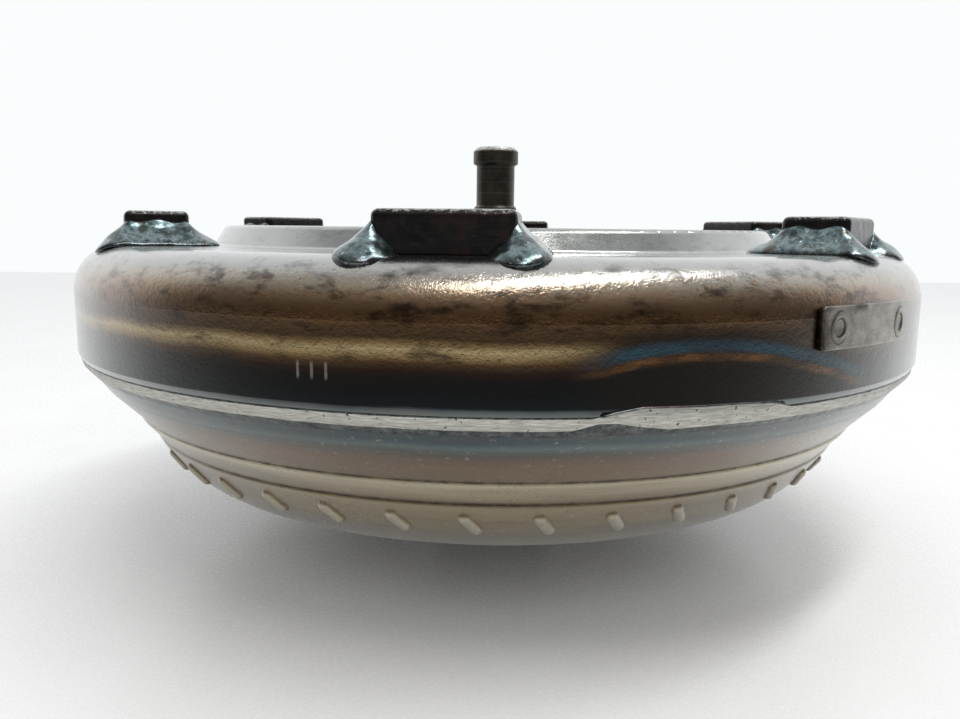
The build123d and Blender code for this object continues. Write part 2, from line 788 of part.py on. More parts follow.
def stop_pin_holes(low_z, high_z):
    hole = upright_cylinder(stop_pin_radius, low_z, high_z, stop_pin_circle_radius)
    return round_array(hole, spring_count, stop_pin_angle())


def damper_drive_plate():
    high_z = drive_plate_z + side_plate_thickness
    plate = flat_ring(side_plate_inner_radius, drive_plate_radius, drive_plate_z, high_z)
    tooth = upright_box(drive_tooth_width, drive_plate_radius - drive_tooth_length,
                        drive_plate_radius + drive_tooth_length, drive_plate_z, high_z)
    plate = plate + round_array(tooth, drive_tooth_count)
    cut_z = drive_plate_z - overrun, high_z + overrun
    return plate - spring_windows(*cut_z) - stop_pin_holes(*cut_z)


def damper_retainer_plate():
    high_z = retainer_plate_z + side_plate_thickness
    plate = flat_ring(side_plate_inner_radius, retainer_plate_radius, retainer_plate_z, high_z)
    cut_z = retainer_plate_z - overrun, high_z + overrun
    return plate - spring_windows(*cut_z) - stop_pin_holes(*cut_z)


def damper_stop_pins():
    high_z = drive_plate_z + side_plate_thickness
    pin = upright_cylinder(stop_pin_radius, retainer_plate_z, high_z, stop_pin_circle_radius)
    heads = [upright_cylinder(stop_pin_head_radius, retainer_plate_z - stop_pin_head_height,
                              retainer_plate_z, stop_pin_circle_radius),
             upright_cylinder(stop_pin_head_radius, high_z, high_z + stop_pin_head_height,
                              stop_pin_circle_radius)]
    return round_array(pin + heads, spring_count, stop_pin_angle())


def damper_spring():
    # A round-wire coil along X, centred in its window
    rise = spring_length - 2 * spring_wire_radius
    path = Helix(spring_pitch, rise, spring_coil_radius)
    wire = Plane(origin=path @ 0, z_dir=path % 0) * Circle(spring_wire_radius)
    coil = sweep(wire, path, is_frenet=True)
    coil = Rot(0, 90, 0) * Pos(0, 0, -rise / 2) * coil
    return Pos(0, -spring_circle_radius, damper_z) * coil


# Lock-up piston

def lockup_piston():
    ring_low = piston_ring_top_z - piston_thickness
    mid_top = piston_ring_top_z + piston_drop
    mid_low = mid_top - piston_thickness
    bore = nose_radius + running_fit
    sleeve = bore + piston_sleeve_wall
    rim_inner = piston_rim_radius - piston_rim_wall
    step_top = plateau_edge_radius - piston_step_top_inset
    step_foot = plateau_edge_radius + plateau_slope_run - piston_step_foot_inset
    body = turned_polygon((bore, piston_sleeve_z), (sleeve, piston_sleeve_z), (sleeve, mid_low),
                          (step_top - piston_step_shift, mid_low),
                          (step_foot - piston_step_shift, ring_low),
                          (rim_inner, ring_low), (rim_inner, piston_rim_z),
                          (piston_rim_radius, piston_rim_z), (piston_rim_radius, piston_ring_top_z),
                          (step_foot, piston_ring_top_z), (step_top, mid_top), (bore, mid_top))
    slot = upright_box(drive_tooth_width + 2 * free_gap, rim_inner - overrun,
                       piston_rim_radius + overrun, piston_rim_z - overrun, piston_slot_z)
    return body - round_array(slot, drive_tooth_count)


def friction_lining():
    lining = flat_ring(lining_outer_radius - lining_width, lining_outer_radius,
                       piston_ring_top_z, piston_ring_top_z + lining_thickness)
    top_z = piston_ring_top_z + lining_thickness
    way_width, way_depth = lining_oil_way
    oil_way = upright_box(way_width, lining_outer_radius - lining_width - overrun,
                          lining_outer_radius + overrun, top_z - way_depth, top_z + overrun)
    return lining - round_array(oil_way, 2 * drive_tooth_count)


# The parts list

def build_parts():
    parts = {
        "front_cover": front_cover(),
        "pilot": pilot(),
        "balance_weight": balance_weight(),
        "closing_weld": closing_weld(),
        "impeller_shell": impeller_shell(),
        "impeller_blades": group(blade_set(shell_wall, impeller_blade_count, blade_bow)),
        "impeller_core_ring": core_ring(),
        "impeller_hub": impeller_hub(),
        "impeller_hub_collar": impeller_hub_collar(),
        "rear_bearing_hub_race": bearing_race(hub_flange_top_z, False),
        "rear_bearing_stator_race": bearing_race(hub_flange_top_z, True),
        "rear_bearing_cage": bearing_cage(hub_flange_top_z),
        "rear_bearing_needles": group(bearing_needles(hub_flange_top_z)),
        "front_bearing_stator_race": bearing_race(front_bearing_z, False),
        "front_bearing_turbine_race": bearing_race(front_bearing_z, True),
        "front_bearing_cage": bearing_cage(front_bearing_z),
        "front_bearing_needles": group(bearing_needles(front_bearing_z)),
        "turbine_shell": turbine_shell(),
        "turbine_blades": group([mirrored(blade) for blade in blade_set(
            turbine_inner_depth, turbine_blade_count, -blade_bow)]),
        "turbine_core_ring": mirrored(core_ring()),
        "turbine_hub": turbine_hub(),
        "turbine_rivets": group(turbine_rivets()),
        "piston_seal_ring": piston_seal_ring(),
        "turbine_thrust_washer": turbine_thrust_washer(),
        "stator_wheel": stator_wheel(),
        "stator_outer_race": stator_outer_race(),
        "clutch_rollers": group(clutch_rollers()),
        "clutch_springs": group(clutch_springs()),
        "stator_rear_cap": stator_rear_cap(),
        "stator_front_cap": stator_front_cap(),
        "stator_snap_ring": stator_snap_ring(),
        "stator_inner_race": stator_inner_race(),
        "driven_plate": driven_plate(),
        "damper_drive_plate": damper_drive_plate(),
        "damper_retainer_plate": damper_retainer_plate(),
        "damper_stop_pins": group(damper_stop_pins()),
        "lockup_piston": lockup_piston(),
        "friction_lining": friction_lining(),
    }
    lug_angles = [lug_first_angle + 360 / lug_count * index for index in range(lug_count)]
    for number, angle in enumerate(lug_angles, 1):
        parts[f"lug_{number}"] = about_axis(lug(), angle)
        parts[f"lug_weld_{number}"] = group([about_axis(bead, angle) for bead in lug_weld()])
    for number, spring in enumerate(round_array(damper_spring(), spring_count), 1):
        parts[f"damper_spring_{number}"] = spring
    return parts


os.makedirs("parts", exist_ok=True)
for name, shape in build_parts().items():
    export_step(shape, f"parts/{name}.step")
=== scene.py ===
import json
import math
import bmesh
import bpy
import numpy as np
from mathutils import Matrix, Vector, noise


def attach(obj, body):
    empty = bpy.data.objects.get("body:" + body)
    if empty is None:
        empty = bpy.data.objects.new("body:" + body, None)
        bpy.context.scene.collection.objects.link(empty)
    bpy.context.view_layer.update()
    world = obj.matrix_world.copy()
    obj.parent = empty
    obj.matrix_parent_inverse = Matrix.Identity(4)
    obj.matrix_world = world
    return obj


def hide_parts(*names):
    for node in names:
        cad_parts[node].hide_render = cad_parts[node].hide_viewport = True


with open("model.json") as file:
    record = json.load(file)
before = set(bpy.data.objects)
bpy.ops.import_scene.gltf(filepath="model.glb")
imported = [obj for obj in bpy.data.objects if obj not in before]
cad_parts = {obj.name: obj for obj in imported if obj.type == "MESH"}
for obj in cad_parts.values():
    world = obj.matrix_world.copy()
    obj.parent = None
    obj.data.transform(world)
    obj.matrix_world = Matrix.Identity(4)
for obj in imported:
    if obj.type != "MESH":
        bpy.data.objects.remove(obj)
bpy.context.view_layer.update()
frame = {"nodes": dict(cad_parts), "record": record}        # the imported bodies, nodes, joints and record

# Looks for a welded torque converter standing on its pump hub, oily and heat tinted.
# The spin axis is Z, and angles are in degrees from -Y towards +X. Sizes are in mm.

mm = 0.001
print("frame loaded:", len(frame["nodes"]), "nodes")


# small tools for nodes
def linearColour(hexValue):
    # sRGB hex to the linear colour that shaders mix in
    channels = [int(hexValue[i:i + 2], 16) / 255 for i in (0, 2, 4)]
    return [c / 12.92 if c <= 0.04045 else ((c + 0.055) / 1.055) ** 2.4 for c in channels] + [1.0]


def addNode(tree, kind, links=None, out=0, stops=None, **settings):
    # adds one node: settings are its properties, links its inputs, stops its ramp or curve points
    node = tree.nodes.new("ShaderNode" + kind)
    for name, value in settings.items():
        setattr(node, name, value)
    for name, value in (links or {}).items():
        if isinstance(value, bpy.types.NodeSocket):
            tree.links.new(value, node.inputs[name])
        else:
            node.inputs[name].default_value = value
    if stops and kind == "ValToRGB":
        ramp = node.color_ramp.elements
        while len(ramp) < len(stops):
            ramp.new(0.5)
        for element, (place, shade) in zip(ramp, stops):
            element.position = place
            element.color = shade
    if stops and kind == "FloatCurve":
        points = node.mapping.curves[0].points
        while len(points) < len(stops):
            points.new(0.5, 0.5)
        for point, (place, height) in zip(points, stops):
            point.location = (place, height)
        node.mapping.update()
    return node if out is None else node.outputs[out]


def newMaterial(name):
    material = bpy.data.materials.new(name)
    material.use_nodes = True
    material.node_tree.nodes.clear()
    return material, material.node_tree


def surfacePlace(tree):
    # the point in mm, and its height, radius and angle about the spin axis
    point = addNode(tree, "TexCoord", out="Object")
    place = {"point": addNode(tree, "VectorMath", {0: point, "Scale": 1000.0}, operation="SCALE")}
    split = addNode(tree, "SeparateXYZ", {0: place["point"]}, out=None)
    x, y, place["z"] = split.outputs
    flat = addNode(tree, "VectorMath", {0: place["point"], 1: (1, 1, 0)}, operation="MULTIPLY")
    place["r"] = addNode(tree, "VectorMath", {0: flat}, out="Value", operation="LENGTH")
    front = addNode(tree, "Math", {0: y, 1: -1.0}, operation="MULTIPLY")
    turn = addNode(tree, "Math", {0: x, 1: front}, operation="ARCTAN2")
    place["angle"] = addNode(tree, "Math", {0: turn}, operation="DEGREES")
    return place


def between(tree, value, low, high, bottom=0.0, top=1.0):
    # a smooth step from bottom to top while value goes from low to high
    links = {"Value": value, "From Min": low, "From Max": high, "To Min": bottom, "To Max": top}
    return addNode(tree, "MapRange", links, interpolation_type="SMOOTHSTEP")


def speckle(tree, point, size, detail=4.0, rough=0.6, stretch=(1, 1, 1)):
    # noise whose lumps are about size mm across; stretch above 1 squeezes them along an axis
    scaled = addNode(tree, "VectorMath", {0: point, 1: stretch}, operation="MULTIPLY")
    links = {"Vector": scaled, "Scale": 1.0 / size, "Detail": detail, "Roughness": rough}
    return addNode(tree, "TexNoise", links)


def combine(tree, operation, first, second):
    return addNode(tree, "Math", {0: first, 1: second}, operation=operation)


def tinted(tree, factor, under, over, blend="MIX"):
    # lays colour over on colour under
    links = {0: factor, 6: under, 7: over}
    return addNode(tree, "Mix", links, out=2, data_type="RGBA", blend_type=blend)


def heightRamp(tree, value, stops):
    # colours by a size in mm, from the first stop to the last
    low, high = stops[0][0], stops[-1][0]
    share = addNode(tree, "MapRange", {"Value": value, "From Min": low, "From Max": high})
    shades = [((size - low) / (high - low), linearColour(shade)) for size, shade in stops]
    return addNode(tree, "ValToRGB", {0: share}, stops=shades)


def curveOf(tree, value, stops, low, high):
    # a smooth curve through (size, result) pairs, result kept between low and high
    start, end = stops[0][0], stops[-1][0]
    share = addNode(tree, "MapRange", {"Value": value, "From Min": start, "From Max": end})
    points = [((size - start) / (end - start), (result - low) / (high - low)) for size, result in stops]
    curve = addNode(tree, "FloatCurve", {"Value": share}, stops=points)
    return addNode(tree, "MapRange", {"Value": curve, "To Min": low, "To Max": high})


def steelSurface(tree, colour, roughness, bumps, metallic=1.0, oil=0.0, oilRoughness=0.08, edgeSheen=0.0):
    # the shader at the end of every metal: bumps are (height, depth in mm) pairs, and the last argument is
    # how far the colour is painted pale where the surface is seen edge on, a painted sheen
    if edgeSheen:
        # painted sheen: the colour is mixed towards pale grey-white where the surface is seen edge on
        edgeOn = addNode(tree, "LayerWeight", {"Blend": 0.5}, out="Facing")
        grazingSheen = combine(tree, "MULTIPLY", combine(tree, "POWER", edgeOn, 3.0), edgeSheen)
        colour = tinted(tree, grazingSheen, colour, linearColour("dcdddb"))
    normal = None
    for height, depth in bumps:
        links = {"Height": height, "Distance": depth * mm, "Strength": 1.0}
        if normal is not None:
            links["Normal"] = normal
        normal = addNode(tree, "Bump", links)
    shader = addNode(tree, "BsdfPrincipled", {"Base Color": colour, "Roughness": roughness,
                                             "Metallic": metallic}, out=None)
    if normal is not None:
        tree.links.new(normal, shader.inputs["Normal"])
    shader.inputs["Coat Weight"].default_value = oil
    shader.inputs["Coat Roughness"].default_value = oilRoughness
    shader.inputs["Coat IOR"].default_value = 1.47          # gear oil
    addNode(tree, "OutputMaterial", {"Surface": shader.outputs[0]}, out=None)


# front cover
coverLook = {
    # oxide colours by height: blue-black beside the weld, straw band, brown, bare steel on top
    "tint": [(66.4, "6a6c66"), (67.6, "4c5254"), (68.6, "0f1416"), (71.5, "0a0c0e"), (74.6, "120d0a"),
             (76.2, "24170e"), (77.8, "4a3520"), (79.2, "8a7550"), (80.5, "a9966e"), (81.6, "7d6744"),
             (82.8, "453320"), (85.0, "523c27"), (88.0, "7a5b3d"), (91.0, "a0856a"), (93.5, "b0a594"),
             (96.0, "aaa9a4"), (98.5, "b2b4b1"), (104.9, "a9aaa6"), (105.4, "b6b7b3")],
    "bandWobble": 1.1,
    "scratches": (-17.2, 1.35),          # angle of the first and the step to the next, in degrees
    "hotArch": [(6, 76.5), (9, 78.0), (13, 79.8), (18, 80.8), (24, 80.2), (29, 78.0), (34, 75.2),
                (39, 72.0), (44, 69.8)],
    "rust": "4f2c14", "soot": "120c08", "copperGlint": "9a6238", "blue": "2f4753", "orange": "6b4a2a",
    "lugPitch": 60.0, "lugTurn": -5.2, "lugRadius": 114.6, "lugHalf": (16.0, 8.8),
    "oil": 0.22, "film": 0.2, "wiped": 0.12,
}


def lugDistance(tree, place, look):
    # how far a point is outside the nearest drive lug's footprint, in mm
    turned = combine(tree, "SUBTRACT", place["angle"], look["lugTurn"] - look["lugPitch"] * 6.5)
    near = combine(tree, "SUBTRACT", combine(tree, "MODULO", turned, look["lugPitch"]), look["lugPitch"] / 2)
    arc = combine(tree, "MULTIPLY", combine(tree, "MULTIPLY", near, math.pi / 180), place["r"])
    sideways = addNode(tree, "Math", {0: arc}, operation="ABSOLUTE")
    along = combine(tree, "SUBTRACT", sideways, look["lugHalf"][0])
    depth = combine(tree, "SUBTRACT", place["r"], look["lugRadius"])
    inOrOut = addNode(tree, "Math", {0: depth}, operation="ABSOLUTE")
    across = combine(tree, "SUBTRACT", inOrOut, look["lugHalf"][1])
    pair = addNode(tree, "CombineXYZ", {0: combine(tree, "MAXIMUM", along, 0.0),
                                        1: combine(tree, "MAXIMUM", across, 0.0)})
    return addNode(tree, "VectorMath", {0: pair}, out="Value", operation="LENGTH"), along


def drawnCoverSteel():
    # deep-drawn mild steel, heat tinted by the closing weld and left oily: brown and blue oxide
    # under a wet film, with rust specks on the shoulder and a bare grey top
    look = coverLook
    material, tree = newMaterial("drawnMildSteelHeatTinted")
    place = surfacePlace(tree)
    point = place["point"]
    broad = speckle(tree, point, 26.0, 3.0, 0.55)
    streaks = speckle(tree, point, 9.0, 5.0, 0.65, (1, 1, 2.4))
    fine = speckle(tree, point, 1.1, 3.0, 0.7)
    grit = speckle(tree, point, 0.5, 2.0, 0.6)
    wobble = combine(tree, "MULTIPLY", combine(tree, "SUBTRACT", broad, 0.5), look["bandWobble"] * 2)
    height = combine(tree, "ADD", place["z"], wobble)
    colour = heightRamp(tree, height, look["tint"])
    smear = speckle(tree, point, 6.0, 5.0, 0.7, (0.5, 0.5, 1.6))
    patchy = combine(tree, "MULTIPLY", between(tree, height, 77.0, 78.5), between(tree, height, 84.5, 82.0))
    faded = combine(tree, "MAXIMUM", between(tree, smear, 0.5, 0.68, 0.0, 0.8),
                    between(tree, place["angle"], 2.0, 13.0, 0.0, 0.85))
    colour = tinted(tree, combine(tree, "MULTIPLY", patchy, faded), colour, linearColour("3a2817"))

    # three upright scratches where a tool slipped down the skirt
    firstScratch, scratchPitch = look["scratches"]
    count = combine(tree, "SUBTRACT", place["angle"], firstScratch)
    count = combine(tree, "DIVIDE", count, scratchPitch)
    rounded = addNode(tree, "Math", {0: count}, operation="ROUND")
    offLine = combine(tree, "SUBTRACT", count, rounded)
    nearest = addNode(tree, "Math", {0: offLine}, operation="ABSOLUTE")
    span = combine(tree, "MULTIPLY", between(tree, count, -0.3, -0.2), between(tree, count, 2.3, 2.2))
    upright = combine(tree, "MULTIPLY", between(tree, place["z"], 73.0, 74.2),
                      between(tree, place["z"], 77.6, 76.6))
    span = combine(tree, "MULTIPLY", span, upright)
    scratch = combine(tree, "MULTIPLY", between(tree, nearest, 0.14, 0.05), span)
    colour = tinted(tree, combine(tree, "MULTIPLY", scratch, 0.55), colour, linearColour("8d8a80"))

    # brown mottling over the shoulder, fading on the flat top
    shoulder = combine(tree, "MULTIPLY", between(tree, height, 82.0, 85.0),
                       between(tree, height, 100, 95, 0.25))
    mottle = combine(tree, "MULTIPLY", between(tree, streaks, 0.48, 0.68), shoulder)
    colour = tinted(tree, combine(tree, "MULTIPLY", mottle, 0.75), colour, linearColour(look["soot"]))
    # painted copper-coloured glints: orange specks under the shoulder stand in for highlights
    glintBand = combine(tree, "MULTIPLY", between(tree, height, 86.0, 92.0),
                         between(tree, height, 97.5, 94.0))
    copperGlint = combine(tree, "MULTIPLY", between(tree, fine, 0.52, 0.7), glintBand)
    copperGlint = combine(tree, "MULTIPLY", copperGlint, between(tree, broad, 0.42, 0.6))
    colour = tinted(tree, combine(tree, "MULTIPLY", copperGlint, 0.8), colour, linearColour(look["copperGlint"]))
    rustPatch = combine(tree, "MULTIPLY", between(tree, speckle(tree, point, 5.0, 5.0, 0.7), 0.6, 0.72),
                        between(tree, height, 79.0, 84.0))
    colour = tinted(tree, combine(tree, "MULTIPLY", rustPatch, 0.7), colour, linearColour(look["rust"]))
    pits = between(tree, fine, 0.36, 0.28)
    colour = tinted(tree, combine(tree, "MULTIPLY", pits, 0.55), colour, linearColour(look["soot"]))

    # the weld's start and stop took more heat: a blue arch over a thin orange line
    arch = curveOf(tree, place["angle"], look["hotArch"], 66.0, 84.0)
    overArch = combine(tree, "SUBTRACT", height, arch)
    ends = combine(tree, "MULTIPLY", between(tree, place["angle"], 6.0, 12.0),
                   between(tree, place["angle"], 43.0, 35.0))
    inside = combine(tree, "MULTIPLY", combine(tree, "MULTIPLY", between(tree, overArch, 6.5, 0.5), ends),
                     between(tree, place["z"], 68.2, 69.0))
    colour = tinted(tree, combine(tree, "MULTIPLY", inside, 0.9), colour, linearColour("17130f"))
    blueLine = combine(tree, "MULTIPLY", between(tree, overArch, -1.6, -0.2),
                       between(tree, overArch, 2.6, 0.6))
    blueLine = combine(tree, "MULTIPLY", blueLine, ends)
    colour = tinted(tree, combine(tree, "MULTIPLY", blueLine, between(tree, smear, 0.3, 0.6, 0.55, 0.9)),
                    colour, linearColour(look["blue"]))
    orangeLine = combine(tree, "MULTIPLY", between(tree, overArch, -3.4, -2.2),
                         between(tree, overArch, -0.6, -1.8))
    orangeLine = combine(tree, "MULTIPLY", orangeLine, ends)
    colour = tinted(tree, combine(tree, "MULTIPLY", orangeLine, between(tree, smear, 0.4, 0.62, 0.25, 0.9)),
                    colour, linearColour(look["orange"]))

    # burnt oil and a painted dark reflection round the lugs: dark brown at the front foot; teal heat tint
    # near the weld beads
    away, along = lugDistance(tree, place, look)
    ringFade = combine(tree, "MULTIPLY", between(tree, place["r"], 96.0, 100.0),
                       between(tree, place["z"], 90, 94))
    nearLug = between(tree, combine(tree, "ADD", away, streaks), 10.5, 4.0)
    burntOilAndReflection = combine(tree, "MULTIPLY", nearLug, ringFade)
    # painted dark reflection of the lug, mixed with burnt oil, darkest at the lug's foot
    colour = tinted(tree, combine(tree, "MULTIPLY", burntOilAndReflection, 0.93), colour, linearColour("1c130d"))
    beadTint = combine(tree, "MULTIPLY", between(tree, away, 12.0, 4.0), between(tree, along, 0.0, 4.0))
    beadTint = combine(tree, "MULTIPLY", beadTint, ringFade)
    colour = tinted(tree, combine(tree, "MULTIPLY", beadTint, 0.75), colour, linearColour("6f8585"))

    film = combine(tree, "MULTIPLY", speckle(tree, point, 12.0, 4.0), look["film"])
    rough = combine(tree, "ADD", film, between(tree, grit, 0.3, 0.7, 0.06, 0.16))
    grime = between(tree, place["z"], 98.0, 96.0, look["wiped"], 1.0)     # the flat top was wiped clean
    bumps = [(speckle(tree, point, 7.0, 2.0), 0.08), (combine(tree, "MULTIPLY", fine, grime), 0.11),
             (combine(tree, "MULTIPLY", grit, grime), 0.03)]
    steelSurface(tree, colour, rough, bumps, 1.0, look["oil"], 0.04, 0.85)
    return material


# impeller shell
shellLook = {
    # from the bottom bowl up to the closing weld; the dark stops at 41.1 and 48.0 are painted shade in the
    # two creases, and the pale stops just below them are painted highlight on the ridges
    "tint": [(17.0, "7f7769"), (30.0, "7d7362"), (36.0, "87795f"), (40.4, "988a6f"), (41.1, "5a4b34"),
             (42.2, "917f62"), (46.0, "bbae93"), (47.4, "cbc0a6"), (48.0, "6d5c43"), (49.5, "725a38"),
             (53.0, "6f5030"), (55.2, "5d442b"), (56.6, "3a322b"), (57.6, "48514f"), (58.6, "50605f"),
             (60.0, "2d3f47"), (63.0, "27343b"), (67.0, "34393b")],
    "bandWobble": 0.9,
    "creases": (41.25, 48.05),
    "flankFoot": (34.0, 112.26), "flankTurn": 54.0,     # height and radius, then its lean from the axis
    "dimple": "b9b5a8", "crease": "2c2015",
}


def spunShellSteel():
    # pressed low-carbon steel bowl: grey-beige scale, straw and slate-blue tint below the weld
    look = shellLook
    material, tree = newMaterial("pressedLowCarbonSteelTinted")
    place = surfacePlace(tree)
    point = place["point"]
    broad = speckle(tree, point, 30.0, 3.0, 0.5)
    bands = speckle(tree, point, 16.0, 4.0, 0.6, (0.25, 0.25, 5.0))     # marks left along the pressing
    fine = speckle(tree, point, 1.6, 4.0, 0.7)
    grit = speckle(tree, point, 0.5, 2.0, 0.6)
    wobble = combine(tree, "MULTIPLY", combine(tree, "SUBTRACT", broad, 0.5), look["bandWobble"] * 2)
    steps = between(tree, place["z"], 49.0, 52.0)               # the creases stay sharp, the tint wanders
    height = combine(tree, "ADD", place["z"], combine(tree, "MULTIPLY", wobble, steps))
    colour = heightRamp(tree, height, look["tint"])
    colour = tinted(tree, between(tree, bands, 0.35, 0.75, 0.0, 0.4), colour, linearColour("4f4534"))
    colour = tinted(tree, between(tree, fine, 0.58, 0.74, 0.0, 0.35), colour, linearColour("c9c2b2"))
    colour = tinted(tree, between(tree, fine, 0.36, 0.27, 0.0, 0.6), colour, linearColour("352a1e"))

    # rust packed in the two press creases, with painted shade along them
    for crease in look["creases"]:
        gap = combine(tree, "SUBTRACT", place["z"], crease)
        line = between(tree, addNode(tree, "Math", {0: gap}, operation="ABSOLUTE"), 0.75, 0.1)
        rustAndShade = combine(tree, "MULTIPLY", line, between(tree, speckle(tree, point, 4.0, 4.0), 0.35, 0.6))
        colour = tinted(tree, combine(tree, "MULTIPLY", rustAndShade, 0.7), colour, linearColour(look["crease"]))

    # the blade tabs' dimples stand proud of the flank and are rubbed pale
    lean = math.tan(math.radians(look["flankTurn"]))
    footHeight, footRadius = look["flankFoot"]
    climb = combine(tree, "SUBTRACT", place["z"], footHeight)
    flank = combine(tree, "ADD", combine(tree, "DIVIDE", climb, lean), footRadius)
    proud = between(tree, combine(tree, "SUBTRACT", place["r"], flank), 0.35, 1.0)
    proud = combine(tree, "MULTIPLY", proud, between(tree, place["z"], 40.6, 40.0))
    colour = tinted(tree, combine(tree, "MULTIPLY", proud, 0.45), colour, linearColour(look["dimple"]))

    rough = combine(tree, "ADD", combine(tree, "MULTIPLY", broad, 0.3),
                    between(tree, grit, 0.3, 0.7, 0.14, 0.3))
    bumps = [(bands, 0.08), (fine, 0.04), (grit, 0.015)]
    steelSurface(tree, colour, rough, bumps, 0.62, 0.2, 0.15, 0.7)
    return material


# closing weld
weldLook = {
    "rise": 61.8, "radii": [(61.8, 133.9), (63.5, 135.5), (65.0, 136.75), (66.8, 137.25)],
    # where the run laps over its own start: angles in degrees, and the band's two edges there
    "leaf": (8.6, 29.0), "leafRise": (4.0, 5.0), "leafSwell": 0.75,
    "leafUp": [(8.6, 66.7), (10.5, 67.9), (13.0, 68.9), (18.0, 68.7), (23.0, 68.6), (26.5, 68.2),
               (29.0, 66.7)],
    "leafLow": [(7.0, 63.5), (9.2, 65.3), (10.8, 65.3), (13.5, 64.2), (16.0, 63.2), (20.0, 63.5),
                (29.0, 63.5)],
    "skirtFoot": (66.8, 67.2, 138.05),   # above the first height the lap lies on the cover's skirt
    "lumps": ((3.2, 0.22), (9.0, 0.18)), "crown": 0.12, "outermost": 138.75,
    "thickness": 1.6,
    "steps": 1800, "across": 22,
    "ground": "cfcec6", "pit": "3a3632",
}


def weldEdges(degrees):
    # heights of the ground band's upper and lower edge, and how much the overlap swells there
    look = weldLook
    up = np.interp(degrees, *zip(*look["leafUp"]))
    low = np.interp(degrees, *zip(*look["leafLow"]))
    start, end = look["leaf"]
    riseIn, riseOut = look["leafRise"]
    swell = np.clip(np.minimum((degrees - start) / riseIn, (end - degrees) / riseOut), 0, 1)
    return up, low, swell


def noisy(points, size, depth, seed):
    # smooth unevenness for a set of points in mm, reproducible because the noise has no state
    shift = Vector((seed * 7.3, seed * 3.1, seed * 1.7))
    return np.array([noise.noise(Vector(p) / size + shift) for p in points]) * depth


def skin(name, grid, material, closeRows=True, attribute=None):
    # skins rows of equally many points, in mm; every row closes on itself
    rows, columns = grid.shape[:2]
    mesh = bpy.data.meshes.new(name)
    faces = []
    for i in range(rows if closeRows else rows - 1):
        j = (i + 1) % rows
        for k in range(columns):
            m = (k + 1) % columns
            faces.append((i * columns + k, i * columns + m, j * columns + m, j * columns + k))
    if not closeRows:
        faces.append(tuple(reversed(range(columns))))
        faces.append(tuple(range((rows - 1) * columns, rows * columns)))
    mesh.from_pydata((grid.reshape(-1, 3) * mm).tolist(), [], faces)
    mesh.validate()
    for polygon in mesh.polygons:
        polygon.use_smooth = True
    if attribute is not None:
        layer = mesh.attributes.new(attribute[0], "FLOAT", "POINT")
        layer.data.foreach_set("value", attribute[1].astype(np.float32).ravel())
    mesh.materials.append(material)
    piece = bpy.data.objects.new(name, mesh)
    bpy.context.scene.collection.objects.link(piece)
    return piece


def outwardFaces(piece):
    # turns the faces outwards, so that bump and gloss read the right side
    shell = bmesh.new()
    shell.from_mesh(piece.data)
    bmesh.ops.recalc_face_normals(shell, faces=shell.faces)
    shell.to_mesh(piece.data)
    shell.free()
    return piece


def groundWeldSteel():
    # mild-steel weld run, its crown ground flat by hand: bright scratched silver full of pin holes,
    # with glassy grey bead left above and below
    look = weldLook
    material, tree = newMaterial("groundWeldSteel")
    place = surfacePlace(tree)
    point = place["point"]
    ragged = speckle(tree, point, 2.2, 4.0, 0.7, (1, 1, 0.6))
    wander = speckle(tree, point, 14.0, 2.0)
    fine = speckle(tree, point, 0.7, 2.0, 0.6)
    scratches = speckle(tree, point, 1.2, 3.0, 0.6, (0.35, 0.35, 5.0))
    jag = combine(tree, "ADD", combine(tree, "MULTIPLY", combine(tree, "SUBTRACT", ragged, 0.5), 0.9),
                  combine(tree, "MULTIPLY", combine(tree, "SUBTRACT", wander, 0.5), 0.8))
    height = combine(tree, "ADD", place["z"], jag)
    attribute = addNode(tree, "Attribute", out=None, attribute_name="groundBand")
    torn = combine(tree, "ADD", attribute.outputs["Fac"], combine(tree, "MULTIPLY", jag, 0.22))
    band = between(tree, torn, 0.42, 0.58)
    colour = tinted(tree, between(tree, ragged, 0.3, 0.7), linearColour("262c2f"), linearColour("6f7473"))
    bright = tinted(tree, between(tree, scratches, 0.35, 0.7), linearColour("a7a69f"),
                    linearColour(look["ground"]))
    colour = tinted(tree, band, colour, bright)
    holes = between(tree, speckle(tree, point, 1.1, 2.0, 0.5), 0.33, 0.26)
    colour = tinted(tree, combine(tree, "MULTIPLY", holes, 0.9), colour, linearColour(look["pit"]))
    high = combine(tree, "MULTIPLY", between(tree, height, 68.3, 68.9), 0.6)
    colour = tinted(tree, high, colour, linearColour("5b3426"))
    rough = combine(tree, "ADD", between(tree, band, 0.0, 1.0, 0.24, 0.5),
                    combine(tree, "MULTIPLY", fine, 0.12))
    depth = combine(tree, "MULTIPLY", holes, -1.0)
    steelSurface(tree, colour, rough, [(depth, 0.12), (scratches, 0.03), (fine, 0.02)], 0.8, 0.15, 0.2)
    return material


